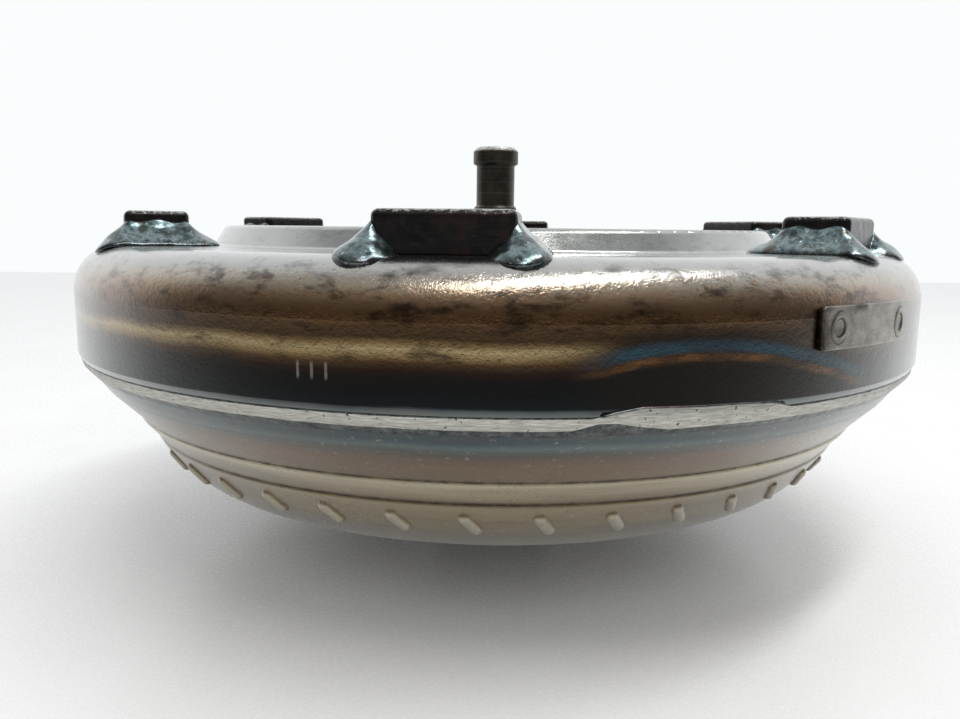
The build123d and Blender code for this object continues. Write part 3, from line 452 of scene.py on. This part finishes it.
def makeClosingWeld(material):
    look = weldLook
    degrees = np.arange(look["steps"]) * 360.0 / look["steps"] - 180.0
    up, low, swell = weldEdges(degrees)
    across = np.linspace(0, 1, look["across"])
    rows, band = [], []
    bottom = look["rise"]
    onSkirt, lapped, skirtRadius = look["skirtFoot"]
    for angle, top, lower, swollen in zip(degrees, up, low, swell):
        heights = bottom + (top - bottom) * across
        radii = np.interp(heights, *zip(*look["radii"]))
        radii = np.where(heights > onSkirt, skirtRadius, radii) if top > lapped else radii
        turn = math.radians(angle)
        outer = np.stack([radii * math.sin(turn), -radii * math.cos(turn), heights], 1)
        lumps = sum(noisy(outer, size, depth, i + 1) for i, (size, depth) in enumerate(look["lumps"]))
        crown = np.sin(np.pi * across) ** 0.5
        lift = lumps * crown + look["leafSwell"] * swollen * crown * 0.6 + look["crown"] * crown
        radii = np.minimum(radii + lift, look["outermost"])
        inner = radii[::-1] - look["thickness"]
        inner[0] = radii[-1] - 0.5
        full = np.concatenate([radii, inner])
        levels = np.concatenate([heights, heights[::-1]])
        rows.append(np.stack([full * math.sin(turn), -full * math.cos(turn), levels], 1))
        overLower = np.clip((heights - lower) / 0.7 + 0.5, 0, 1)
        underUpper = np.clip((top - 0.35 - heights) / 0.5 + 0.5, 0, 1)
        inBand = overLower * underUpper
        band.append(np.concatenate([inBand, inBand[::-1] * 0]))
    piece = skin("closingWeldBead", np.array(rows), material, True, ("groundBand", np.array(band)))
    return outwardFaces(piece)


# drive lugs
lugLook = {
    "count": 6, "firstTurn": -5.2, "radius": 114.6, "half": (16.05, 8.8), "rise": (98.7, 108.9),
    "cornerRadius": 1.9, "topRadius": 1.8, "holeRadius": 4.25, "mouthRadius": 5.0, "mouthDepth": 0.75,
    "pitch": 1.5, "threadDepth": 0.42, "threadStep": 0.15, "dents": ((4.0, 0.16), (1.3, 0.05)),
    "around": 144,
}


def roundedOutline(half, corner, count):
    # points round a block with rounded corners, evenly spaced, with their outward normals
    width, depth = half[0] - corner, half[1] - corner
    corners = [(width, -depth, -90), (width, depth, 0), (-width, depth, 90), (-width, -depth, 180)]
    runs = []
    for i, (x, y, start) in enumerate(corners):
        runs.append(("arc", x, y, start))
        nextX, nextY = corners[(i + 1) % 4][:2]
        runs.append(("line", x, y, start + 90, math.hypot(nextX - x, nextY - y)))
    total = 2 * math.pi * corner + 4 * (width + depth)
    spots, normals = [], []
    for step in range(count):
        left = total * step / count
        for run in runs:
            length = math.pi / 2 * corner if run[0] == "arc" else run[4]
            if left <= length:
                break
            left -= length
        turn = math.radians(run[3] + (left / corner * 180 / math.pi if run[0] == "arc" else 0))
        out = (math.cos(turn), math.sin(turn))
        slide = 0 if run[0] == "arc" else left
        spots.append((run[1] + out[0] * corner - out[1] * slide, run[2] + out[1] * corner + out[0] * slide))
        normals.append(out)
    return np.array(spots), np.array(normals)


def onLug(points, number, look):
    # moves points from a lug's own place (x along, y outwards, z up) to its seat on the cover
    turn = math.radians(look["firstTurn"] + 60.0 * number)
    x, y = points[..., 0], -(look["radius"] + points[..., 1])
    return np.stack([x * math.cos(turn) - y * math.sin(turn), x * math.sin(turn) + y * math.cos(turn),
                     points[..., 2]], -1)


def forgedLugSteel():
    # cold-drawn bar cut to blocks, blackened by welding heat and oil: near-black with brown bloom,
    # rubbed to silver specks along the top edges, which also paint in the edges' highlight
    material, tree = newMaterial("blackenedBarSteel")
    place = surfacePlace(tree)
    point = place["point"]
    fine = speckle(tree, point, 0.8, 3.0, 0.7)
    patch = speckle(tree, point, 5.0, 4.0, 0.6)
    saw = speckle(tree, point, 0.9, 2.0, 0.5, (0.2, 0.2, 3.0))
    colour = tinted(tree, between(tree, patch, 0.42, 0.7), linearColour("0d0c0d"), linearColour("261a14"))
    colour = tinted(tree, between(tree, fine, 0.6, 0.75, 0.0, 0.35), colour, linearColour("4a3d35"))
    wearAndHighlight = addNode(tree, "Attribute", out=None, attribute_name="edgeWearAndHighlight")
    uneven = combine(tree, "MULTIPLY", combine(tree, "SUBTRACT", fine, 0.5), 1.3)
    ragged = combine(tree, "ADD", wearAndHighlight.outputs["Fac"], uneven)
    # silver specks along the top edges: rubbed wear and a painted edge highlight
    rubbed = between(tree, ragged, 0.5, 0.75)
    colour = tinted(tree, rubbed, colour, linearColour("a8a7a1"))
    rough = combine(tree, "ADD", combine(tree, "MULTIPLY", patch, 0.3), 0.2)
    steelSurface(tree, colour, rough, [(saw, 0.05), (fine, 0.05), (patch, 0.2)], 0.75, 0.35, 0.15)
    return material


def makeLug(number, material):
    look = lugLook
    low, top = look["rise"]
    count = look["around"]
    outline, normals = roundedOutline(look["half"], look["cornerRadius"], count)
    angles = np.arctan2(outline[:, 1], outline[:, 0])
    ring = np.stack([np.cos(angles), np.sin(angles)], 1)
    rows, wearAndHighlight = [], []

    def addRow(flat, height, rubbed):
        rows.append(np.column_stack([flat, np.full(count, height) if np.isscalar(height) else height]))
        wearAndHighlight.append(np.full(count, rubbed) if np.isscalar(rubbed) else rubbed)

    corner = np.clip(1 - np.abs(np.abs(normals[:, 0]) - np.abs(normals[:, 1])) * 1.2, 0, 1)
    for height in np.linspace(low, top - look["topRadius"], 14):
        share = (height - low) / (top - low)
        addRow(outline, height, corner * 0.35 * share)
    for step in range(1, 8):
        turn = math.pi / 2 * step / 7
        inset = look["topRadius"] * (1 - math.cos(turn))
        addRow(outline - normals * inset, top - look["topRadius"] * (1 - math.sin(turn)),
               0.25 + 0.55 * math.sin(turn) ** 2)
    edge = outline - normals * look["topRadius"]
    for step in range(1, 9):
        share = step / 9
        addRow(edge * (1 - share) + ring * look["mouthRadius"] * share, top, 0.75 - 0.25 * share)
    addRow(ring * look["mouthRadius"], top, 0.6)
    addRow(ring * (look["holeRadius"] + 0.1), top - look["mouthDepth"], 0.3)
    for height in np.arange(top - look["mouthDepth"] - look["threadStep"], low + 0.2, -look["threadStep"]):
        phase = (height / look["pitch"] + angles / (2 * math.pi)) % 1.0
        crest = 1 - np.abs(phase * 2 - 1)
        addRow(ring * (look["holeRadius"] - look["threadDepth"] * crest)[:, None], height, crest * 0.3)
    addRow(ring * look["holeRadius"], low, 0)
    grid = np.array(rows)
    flatPoints = grid.reshape(-1, 3)
    (wide, wideDepth), (small, smallDepth) = look["dents"]
    dents = noisy(flatPoints, wide, wideDepth, 10 + number)
    dents = dents + noisy(flatPoints, small, smallDepth, 20 + number)
    away = np.hypot(flatPoints[:, 0], flatPoints[:, 1])
    dents = np.where(away > look["mouthRadius"] + 0.2, dents, 0)
    pull = flatPoints - np.array([0, 0, (low + top) / 2])
    pull /= np.maximum(np.linalg.norm(pull, axis=1, keepdims=True), 1e-6)
    flatPoints = flatPoints - pull * np.abs(dents)[:, None]
    grid = onLug(flatPoints.reshape(grid.shape), number, look)
    piece = skin("driveLugBlock" + str(number + 1), grid, material, True, ("edgeWearAndHighlight", np.array(wearAndHighlight)))
    return outwardFaces(piece)


# lug weld beads
beadLook = {
    "reach": 6.8,                        # how far the bead wraps past each corner
    "ramp": 0.2,                         # share of the run in which it climbs to its full height
    "endWidth": 7.2, "faceWidth": 8.4, "height": 7.4, "along": 110, "section": 26,
    "outline": 720, "ripple": 0.08, "rippleTurns": 10.0,
    "ringRadius": 125.0, "shoulderReach": 12.9, "shoulderRadius": 13.0, "ringHeight": 98.9,
}


def coverHeight(radius):
    # top of the cover under a lug: a flat ring, then the rounded shoulder
    look = beadLook
    over = np.clip(radius - look["ringRadius"], 0, look["shoulderReach"])
    return look["ringHeight"] - (look["shoulderRadius"] - np.sqrt(look["shoulderRadius"] ** 2 - over ** 2))


def glassyWeldSteel():
    # arc-weld metal straight from the gun, oiled: glassy teal grey with rainbow heat colours
    material, tree = newMaterial("asWeldedSteelOiled")
    place = surfacePlace(tree)
    point = place["point"]
    swirl = speckle(tree, point, 4.5, 3.0, 0.6)
    fine = speckle(tree, point, 0.9, 3.0, 0.7)
    ripples = addNode(tree, "TexWave", {"Vector": point, "Scale": 0.16, "Distortion": 4.0, "Detail": 3.0,
                                        "Detail Scale": 1.2}, out="Fac", bands_direction="Z")
    colour = addNode(tree, "ValToRGB", {0: swirl}, stops=[
        (0.30, linearColour("1c2526")), (0.42, linearColour("3b4c4e")), (0.52, linearColour("74878a")),
        (0.62, linearColour("3d4d47")), (0.74, linearColour("4e3a2b"))])
    foot = addNode(tree, "Attribute", out=None, attribute_name="beadFoot")
    edge = combine(tree, "MULTIPLY", between(tree, foot.outputs["Fac"], 0.8, 1.0),
                   between(tree, fine, 0.35, 0.6))
    colour = tinted(tree, combine(tree, "MULTIPLY", edge, 0.7), colour, linearColour("3b1d18"))
    # painted sparkle highlights: pale specks over the glossy bead
    paleSparkle = between(tree, fine, 0.62, 0.72, 0.0, 0.7)
    colour = tinted(tree, paleSparkle, colour, linearColour("d5dad8"))
    rough = combine(tree, "ADD", combine(tree, "MULTIPLY", swirl, 0.3), 0.08)
    steelSurface(tree, colour, rough, [(ripples, 0.05), (fine, 0.03), (swirl, 0.15)], 1.0, 0.5, 0.04, 0.6)
    return material


def makeLugWeld(number, material):
    look, lug = beadLook, lugLook
    outline, normals = roundedOutline(lug["half"], lug["cornerRadius"], look["outline"])
    beads = []
    for side in (1, -1):
        keep = outline[:, 0] * side > lug["half"][0] - look["reach"]
        order = np.argsort(np.arctan2(outline[keep][:, 1], (outline[keep][:, 0] - side * 9.0) * side))
        path, out = outline[keep][order], normals[keep][order]
        pick = np.linspace(0, len(path) - 1, look["along"]).astype(int)
        path, out = path[pick], out[pick]
        share = np.linspace(0, 1, look["along"])
        climb = np.clip(np.minimum(share, 1 - share) / look["ramp"], 0, 1)
        rise = climb ** 0.8 * (1 + 0.06 * np.sin(share * 19 + number * 2 + side))
        spread = np.abs(out[:, 0]) ** 1.5 * look["endWidth"] + np.abs(out[:, 1]) ** 1.5 * look["faceWidth"]
        width = spread * np.sqrt(climb)
        width = np.maximum(width, 0.25)
        tall = np.maximum(look["height"] * rise * (0.78 + 0.22 * np.abs(out[:, 0])), 0.2)
        rows, foot = [], []
        for i in range(look["along"]):
            s = np.linspace(0, 1, look["section"])
            profile = tall[i] * (0.62 * (1 - s) ** 2.0 + 0.38 * np.sqrt(np.maximum(1 - s ** 2.4, 0)))
            flat = path[i] + np.outer(s * width[i], out[i])
            ground = coverHeight(lug["radius"] + flat[:, 1])
            # the lug's y grows outwards, so its radius follows directly
            curve = np.column_stack([flat, ground - 0.25 + profile])
            waves = look["ripple"] * np.sin(share[i] * 2 * math.pi * look["rippleTurns"] + s * 2.5)
            bulge = (noisy(curve, 4.5, 0.5, 30 + number) + waves) * np.sin(np.pi * s) * min(1, tall[i] / 2)
            curve[:, :2] += np.outer(bulge * 0.6, out[i])
            curve[:, 2] += bulge * 0.7
            under = np.array([[*(path[i] + out[i] * width[i] * 0.5), ground[-1] - 0.6],
                              [*(path[i] - out[i] * 0.5), ground[0] - 0.6],
                              [*(path[i] - out[i] * 0.5), ground[0] + tall[i] * 0.7]])
            rows.append(np.vstack([curve, under]))
            foot.append(np.concatenate([s, [1, 0, 0]]))
        beads.append((np.array(rows), np.array(foot)))
    pieces = []
    for index, (grid, foot) in enumerate(beads):
        name = "lugWeldBead" + str(number + 1) + "ab"[index]
        piece = skin(name, onLug(grid, number, lug), material, False, ("beadFoot", foot))
        pieces.append(outwardFaces(piece))
    return pieces


# balance weight
stripLook = {
    "turns": (31.5, 48.2), "rise": (78.5, 88.5), "radii": (138.0, 139.75), "corner": 1.2, "edge": 0.45,
    "spots": [(33.9, 83.6), (45.8, 83.2)],          # angle and height of the two spot welds
    "spotHalf": (2.4, 2.9), "rimWidth": 0.28, "rimHeight": 0.3, "dish": 0.32,
    "along": 260, "across": 84, "rings": 70,
}


def stripSteel():
    # cold-rolled strip steel dulled by oil: speckled grey, burnt at its left end, with a painted reflection
    # that pales it towards its right end, and dark rings where the spot welder pressed
    look = stripLook
    material, tree = newMaterial("coldRolledStripDulled")
    place = surfacePlace(tree)
    point = place["point"]
    cloud = speckle(tree, point, 5.0, 4.0, 0.6)
    fine = speckle(tree, point, 0.7, 3.0, 0.7)
    grain = speckle(tree, point, 1.0, 2.0, 0.5, (0.25, 0.25, 4.0))
    # painted reflection: the strip is drawn paler towards its right end, where it turns away from the view
    left = addNode(tree, "MapRange", {"Value": place["angle"], "From Min": look["turns"][0],
                                      "From Max": look["turns"][1]})
    dull = tinted(tree, left, linearColour("6a655d"), linearColour("a5a29b"))
    grazingSheen = tinted(tree, left, linearColour("8c877e"), linearColour("c6c3bc"))
    colour = tinted(tree, between(tree, cloud, 0.35, 0.7), dull, grazingSheen)
    colour = tinted(tree, between(tree, grain, 0.5, 0.75, 0.0, 0.45), colour, linearColour("5f5a53"))
    ragged = combine(tree, "ADD", place["angle"], combine(tree, "MULTIPLY", cloud, 2.0))
    colour = tinted(tree, between(tree, ragged, 33.8, 32.2, 0.0, 0.9), colour, linearColour("2e2118"))
    stainWidth = combine(tree, "MULTIPLY", between(tree, ragged, 36.5, 37.5),
                         between(tree, ragged, 40.0, 38.8))
    topStain = combine(tree, "MULTIPLY", between(tree, place["z"], 86.2, 88.2), stainWidth)
    colour = tinted(tree, combine(tree, "MULTIPLY", topStain, 0.8), colour, linearColour("2b2420"))
    spot = addNode(tree, "Attribute", out=None, attribute_name="spotRing")
    pressed = between(tree, spot.outputs["Fac"], 0.25, 0.9, 0.0, 0.8)
    colour = tinted(tree, pressed, colour, linearColour("312c27"))
    colour = tinted(tree, between(tree, fine, 0.38, 0.28, 0.0, 0.8), colour, linearColour("29231d"))
    colour = tinted(tree, between(tree, fine, 0.62, 0.72, 0.0, 0.5), colour, linearColour("d8d6d0"))
    rough = combine(tree, "ADD", combine(tree, "MULTIPLY", cloud, 0.2), 0.3)
    steelSurface(tree, colour, rough, [(grain, 0.03), (fine, 0.04), (cloud, 0.08)], 0.9, 0.1, 0.2)
    return material


def stripFace(flat, look):
    # depth of the strip's outer face and the marks of the spot welds, at points (along, up) in mm
    start, end = look["turns"]
    outer = look["radii"][1]
    radius = np.full(len(flat), outer - 0.35)
    marks = np.zeros(len(flat))
    for number, (angle, height) in enumerate(look["spots"]):
        across = (flat[:, 0] - math.radians(angle - (start + end) / 2) * outer) / look["spotHalf"][0]
        up = (flat[:, 1] - (height - sum(look["rise"]) / 2)) / look["spotHalf"][1]
        away = np.hypot(across, up)
        rim = np.exp(-((away - 1) / look["rimWidth"]) ** 2)
        if number == 0:                              # the first ring is open at the bottom
            rim = rim * np.clip((up + 0.9) / 0.4, 0, 1)
        dimple = np.clip(1 - (away / 0.75) ** 2, 0, 1)
        radius = radius + rim * look["rimHeight"] - dimple * look["dish"]
        rings = np.exp(-((away - 0.72) / 0.14) ** 2) + 0.8 * np.exp(-((away - 1.3) / 0.1) ** 2)
        marks = np.maximum(marks, rings)
    radius = radius + noisy(np.column_stack([flat, radius]), 9.0, 0.12, 50)
    return np.minimum(radius, outer), np.clip(marks, 0, 1)


def makeBalanceWeight(material):
    look = stripLook
    start, end = look["turns"]
    low, high = look["rise"]
    inner, outer = look["radii"]
    half = (math.radians(end - start) * outer / 2, (high - low) / 2)
    outline, normals = roundedOutline(half, look["corner"], 2 * (look["along"] + look["across"]))
    blank = np.zeros(len(outline))
    edge = outline - normals * look["edge"]
    faceRadius = stripFace(edge, look)[0]
    rows, marks = [np.column_stack([outline, blank + inner])], [blank]
    for step in range(6):                            # rounded edge
        turn = math.pi / 2 * step / 5
        inset = normals * look["edge"] * (1 - math.cos(turn))
        rows.append(np.column_stack([outline - inset, faceRadius - look["edge"] * (1 - math.sin(turn))]))
        marks.append(blank)
    for share in np.linspace(0.03, 1.0, look["rings"]):
        flat = edge * (1 - share)
        flat[:, 0] += edge[:, 0] * share * (1 - half[1] / half[0])
        faceRadius, faceMarks = stripFace(flat, look)
        rows.append(np.column_stack([flat, faceRadius]))
        marks.append(faceMarks)
    rows.append(np.column_stack([flat, blank + inner]))
    marks.append(blank)
    grid = np.array(rows)
    turns = np.radians((start + end) / 2) + grid[..., 0] / outer
    heights = (low + high) / 2 + grid[..., 1]
    points = np.stack([grid[..., 2] * np.sin(turns), -grid[..., 2] * np.cos(turns), heights], -1)
    piece = skin("balanceStrip", points, material, True, ("spotRing", np.array(marks)))
    return outwardFaces(piece)


# turned and pressed parts
# one entry for each finish: base and dirt colours, gloss, and the tool marks' real spacing in mm
plainLooks = {
    "phosphatedPilotSteel": {         # turned and phosphated: matt olive black with rubbed rims
        "base": "3f3c32", "second": "26241e", "fleck": "6a6658", "rough": 0.38, "metallic": 0.8,
        "marks": 0.6, "markDepth": 0.01, "oil": 0.25, "rim": (133.3, "d2d1ca")},
    "groundHubSteel": {               # hardened and ground journal: bright with fine rings round it
        "base": "a9a8a3", "second": "87837b", "fleck": "d6d6d2", "rough": 0.24, "metallic": 1.0,
        "marks": 0.3, "markDepth": 0.012, "oil": 0.3, "rim": None},
    "pressedBladeSteel": {            # stamped sheet, brazed: warm grey with furnace haze
        "base": "8f8a80", "second": "6d6456", "fleck": "b9b3a5", "rough": 0.36, "metallic": 0.95,
        "marks": 1.6, "markDepth": 0.03, "oil": 0.5, "rim": None},
    "blackenedSpringSteel": {         # oil-tempered wire: blue black with a soft sheen
        "base": "32343a", "second": "23211f", "fleck": "6f7378", "rough": 0.3, "metallic": 0.9,
        "marks": 0.8, "markDepth": 0.01, "oil": 0.5, "rim": None},
    "lappedBearingSteel": {           # hardened and lapped: near mirror, faint grinding lines
        "base": "b9bab8", "second": "9d9c98", "fleck": "dadad8", "rough": 0.14, "metallic": 1.0,
        "marks": 0.25, "markDepth": 0.006, "oil": 0.4, "rim": None},
    "castStatorAluminium": {          # die-cast aluminium: pale grainy skin with darker patches
        "base": "b4b5b3", "second": "94938e", "fleck": "d0d1cf", "rough": 0.44, "metallic": 0.9,
        "marks": 2.2, "markDepth": 0.09, "oil": 0.2, "rim": None},
}


def plainMetal(name):
    look = plainLooks[name]
    material, tree = newMaterial(name)
    place = surfacePlace(tree)
    point = place["point"]
    cloud = speckle(tree, point, 8.0, 4.0, 0.6)
    fine = speckle(tree, point, 0.9, 3.0, 0.7)
    # rings of the cutting tool: noise read along radius and height only, so it runs round the axis
    ring = addNode(tree, "CombineXYZ", {0: place["r"], 1: place["z"]})
    marks = speckle(tree, ring, look["marks"], 2.0, 0.5)
    colour = tinted(tree, between(tree, cloud, 0.35, 0.68), linearColour(look["base"]),
                    linearColour(look["second"]))
    colour = tinted(tree, between(tree, marks, 0.5, 0.75, 0.0, 0.3), colour, linearColour(look["fleck"]))
    colour = tinted(tree, between(tree, fine, 0.62, 0.74, 0.0, 0.5), colour, linearColour(look["fleck"]))
    colour = tinted(tree, between(tree, fine, 0.36, 0.27, 0.0, 0.5), colour, linearColour("2a241d"))
    if look["rim"]:
        height, shade = look["rim"]
        rubbed = combine(tree, "MULTIPLY", between(tree, place["z"], height - 1.9, height - 0.2),
                         between(tree, fine, 0.3, 0.55))
        colour = tinted(tree, rubbed, colour, linearColour(shade))
    rough = combine(tree, "ADD", combine(tree, "MULTIPLY", cloud, 0.2), look["rough"] - 0.08)
    bumps = [(marks, look["markDepth"]), (fine, 0.02), (cloud, 0.06)]
    steelSurface(tree, colour, rough, bumps, look["metallic"], look["oil"], 0.12)
    return material


def clutchPaper():
    # resin-bonded friction paper: tan felted fibre, soaked with oil
    material, tree = newMaterial("frictionPaper")
    place = surfacePlace(tree)
    fibre = speckle(tree, place["point"], 0.8, 5.0, 0.75, (1, 1, 3))    # fibres drawn coarser than 0.05 mm
    cloud = speckle(tree, place["point"], 9.0, 3.0)
    colour = tinted(tree, between(tree, fibre, 0.35, 0.7), linearColour("6b5136"), linearColour("9a7d57"))
    colour = tinted(tree, between(tree, cloud, 0.5, 0.8, 0.0, 0.5), colour, linearColour("3e2d1e"))
    rough = combine(tree, "ADD", combine(tree, "MULTIPLY", fibre, 0.3), 0.5)
    steelSurface(tree, colour, rough, [(fibre, 0.08)], 0.0, 0.2, 0.3)
    return material


def mouldedResin(name, base, second, rough):
    # injection-moulded bearing plastic: even colour, faint flow lines and a satin skin
    material, tree = newMaterial(name)
    place = surfacePlace(tree)
    flow = speckle(tree, place["point"], 6.0, 4.0, 0.6, (0.5, 0.5, 2.0))
    skinGrain = speckle(tree, place["point"], 0.6, 2.0, 0.5)
    colour = tinted(tree, between(tree, flow, 0.3, 0.7), linearColour(base), linearColour(second))
    roughness = combine(tree, "ADD", combine(tree, "MULTIPLY", flow, 0.2), rough)
    steelSurface(tree, colour, roughness, [(skinGrain, 0.02), (flow, 0.03)], 0.0, 0.3, 0.15)
    return material


def dress(nodes, material):
    for node in nodes:
        slots = frame["nodes"][node].data.materials
        for index in range(max(1, len(slots))):
            if index < len(slots):
                slots[index] = material
            else:
                slots.append(material)


# put it together
weldSteel = groundWeldSteel()
closingWeld = makeClosingWeld(weldSteel)
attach(closingWeld, "housing")
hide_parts("closing_weld")
print("closing weld made")

lugSteel, beadSteel = forgedLugSteel(), glassyWeldSteel()
for lugNumber in range(lugLook["count"]):
    lugBlock = makeLug(lugNumber, lugSteel)
    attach(lugBlock, "housing")
    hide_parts("lug_" + str(lugNumber + 1))
    for bead in makeLugWeld(lugNumber, beadSteel):
        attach(bead, "housing")
        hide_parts("lug_weld_" + str(lugNumber + 1))
print("lugs and their beads made")

balanceStrip = makeBalanceWeight(stripSteel())
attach(balanceStrip, "housing")
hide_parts("balance_weight")
print("balance weight made")

dress(["front_cover"], drawnCoverSteel())
dress(["impeller_shell"], spunShellSteel())
dress(["pilot"], plainMetal("phosphatedPilotSteel"))
dress(["impeller_hub", "impeller_hub_collar"], plainMetal("groundHubSteel"))
slotFinish = {
    "machined_steel": plainMetal("pressedBladeSteel"), "pressed_steel": plainMetal("pressedBladeSteel"),
    "spring_steel": plainMetal("blackenedSpringSteel"), "bearing_steel": plainMetal("lappedBearingSteel"),
    "cast_alloy": plainMetal("castStatorAluminium"), "friction_paper": clutchPaper(),
    "washer_resin": mouldedResin("mouldedThrustResin", "6a5a3c", "8a7852", 0.3),
    "seal_resin": mouldedResin("filledSealResin", "2a2622", "3d362e", 0.28),
    "oxide_steel": plainMetal("phosphatedPilotSteel"),
}
hand = {"front_cover", "impeller_shell", "pilot", "impeller_hub", "impeller_hub_collar"}
for part in frame["record"]["subparts"]:
    finish = slotFinish.get(part["material_slot"])
    if part["node"] not in hand and finish and not frame["nodes"][part["node"]].hide_render:
        dress([part["node"]], finish)
print("inner parts dressed")


# floor, light and camera
studioLook = {
    "floorSize": 3.0, "floor": "e9e8e6", "sky": "fbfdff", "skyStrength": 1.0,
    "roomStrength": (0.2, 0.5), "fillStrength": 0.92, "backdrop": "fafdfd",
    "keyPower": 6.0, "keySize": (1.1, 0.14), "keyPlace": (0.22, -0.3, 1.1), "keyAim": (0, -0.12, 0.09),
    "camera": (0.0, -0.2979, 0.1045), "lens": 30.40, "pitch": 9.11, "yaw": 0.94, "roll": 0.62,
}


def glossyBoard():
    # white laminated board: satin sheen that blurs what stands on it
    material, tree = newMaterial("whiteLaminateBoard")
    point = surfacePlace(tree)["point"]
    cloud = speckle(tree, point, 60.0, 2.0)
    grain = speckle(tree, point, 1.2, 2.0)
    colour = tinted(tree, cloud, linearColour(studioLook["floor"]), linearColour("f2f2f1"))
    rough = combine(tree, "ADD", combine(tree, "MULTIPLY", grain, 0.1), 0.22)
    steelSurface(tree, colour, rough, [(cloud, 0.01)], 0.0)
    return material


def makeFloor():
    size = studioLook["floorSize"] / 2
    mesh = bpy.data.meshes.new("whiteFloor")
    corners = [(-size, -size, 0), (size, -size, 0), (size, size, 0), (-size, size, 0)]
    mesh.from_pydata(corners, [], [(0, 1, 2, 3)])
    mesh.materials.append(glossyBoard())
    floor = bpy.data.objects.new("whiteFloor", mesh)
    bpy.context.scene.collection.objects.link(floor)


def makeLight():
    # white sheet behind, a window panel overhead, and a dim room in front
    world = bpy.data.worlds.new("whiteStudio")
    bpy.context.scene.world = world
    world.use_nodes = True
    tree = world.node_tree
    tree.nodes.clear()
    toward = addNode(tree, "TexCoord", out="Generated")
    split = addNode(tree, "SeparateXYZ", {0: toward}, out=None)
    low, high = studioLook["roomStrength"]
    front = between(tree, split.outputs[2], 0.35, 0.85, low, high)
    behind = between(tree, split.outputs[1], -0.12, 0.3)
    strength = addNode(tree, "MapRange", {"Value": behind, "To Min": front,
                                          "To Max": studioLook["skyStrength"]})
    room = addNode(tree, "Background", {"Color": linearColour(studioLook["sky"]), "Strength": strength})
    fill = addNode(tree, "Background", {"Color": linearColour(studioLook["sky"]),
                                        "Strength": studioLook["fillStrength"]})
    plain = addNode(tree, "Background", {"Color": linearColour(studioLook["backdrop"]), "Strength": 1.0})
    path = addNode(tree, "LightPath", out=None)
    lit = addNode(tree, "MixShader", {0: path.outputs["Is Diffuse Ray"], 1: room, 2: fill})
    both = addNode(tree, "MixShader", {0: path.outputs["Is Camera Ray"], 1: lit, 2: plain})
    addNode(tree, "OutputWorld", {"Surface": both}, out=None)
    lamp = bpy.data.lights.new("windowPanel", "AREA")
    lamp.shape, lamp.energy = "RECTANGLE", studioLook["keyPower"]
    lamp.size, lamp.size_y = studioLook["keySize"]
    panel = bpy.data.objects.new("windowPanel", lamp)
    bpy.context.scene.collection.objects.link(panel)
    panel.location = studioLook["keyPlace"]
    aim = Vector(studioLook["keyAim"]) - panel.location      # at the cover's front shoulder
    panel.rotation_euler = aim.to_track_quat("-Z", "Y").to_euler()


def makeCamera():
    look = studioLook
    lens = bpy.data.cameras.new("viewCamera")
    lens.lens, lens.sensor_width, lens.sensor_fit = look["lens"], 36.0, "HORIZONTAL"
    lens.clip_start, lens.clip_end = 0.01, 20.0
    camera = bpy.data.objects.new("viewCamera", lens)
    bpy.context.scene.collection.objects.link(camera)
    pitch, yaw, roll = (math.radians(look[part]) for part in ("pitch", "yaw", "roll"))
    spin = Matrix.Rotation(yaw, 4, "Z") @ Matrix.Rotation(math.pi / 2 - pitch, 4, "X")
    spin = spin @ Matrix.Rotation(roll, 4, "Z")
    camera.matrix_world = Matrix.Translation(look["camera"]) @ spin
    bpy.context.scene.camera = camera


makeFloor()
makeLight()
makeCamera()
bpy.context.scene.view_settings.view_transform = "Standard"     # keeps the white board white
print("studio ready")
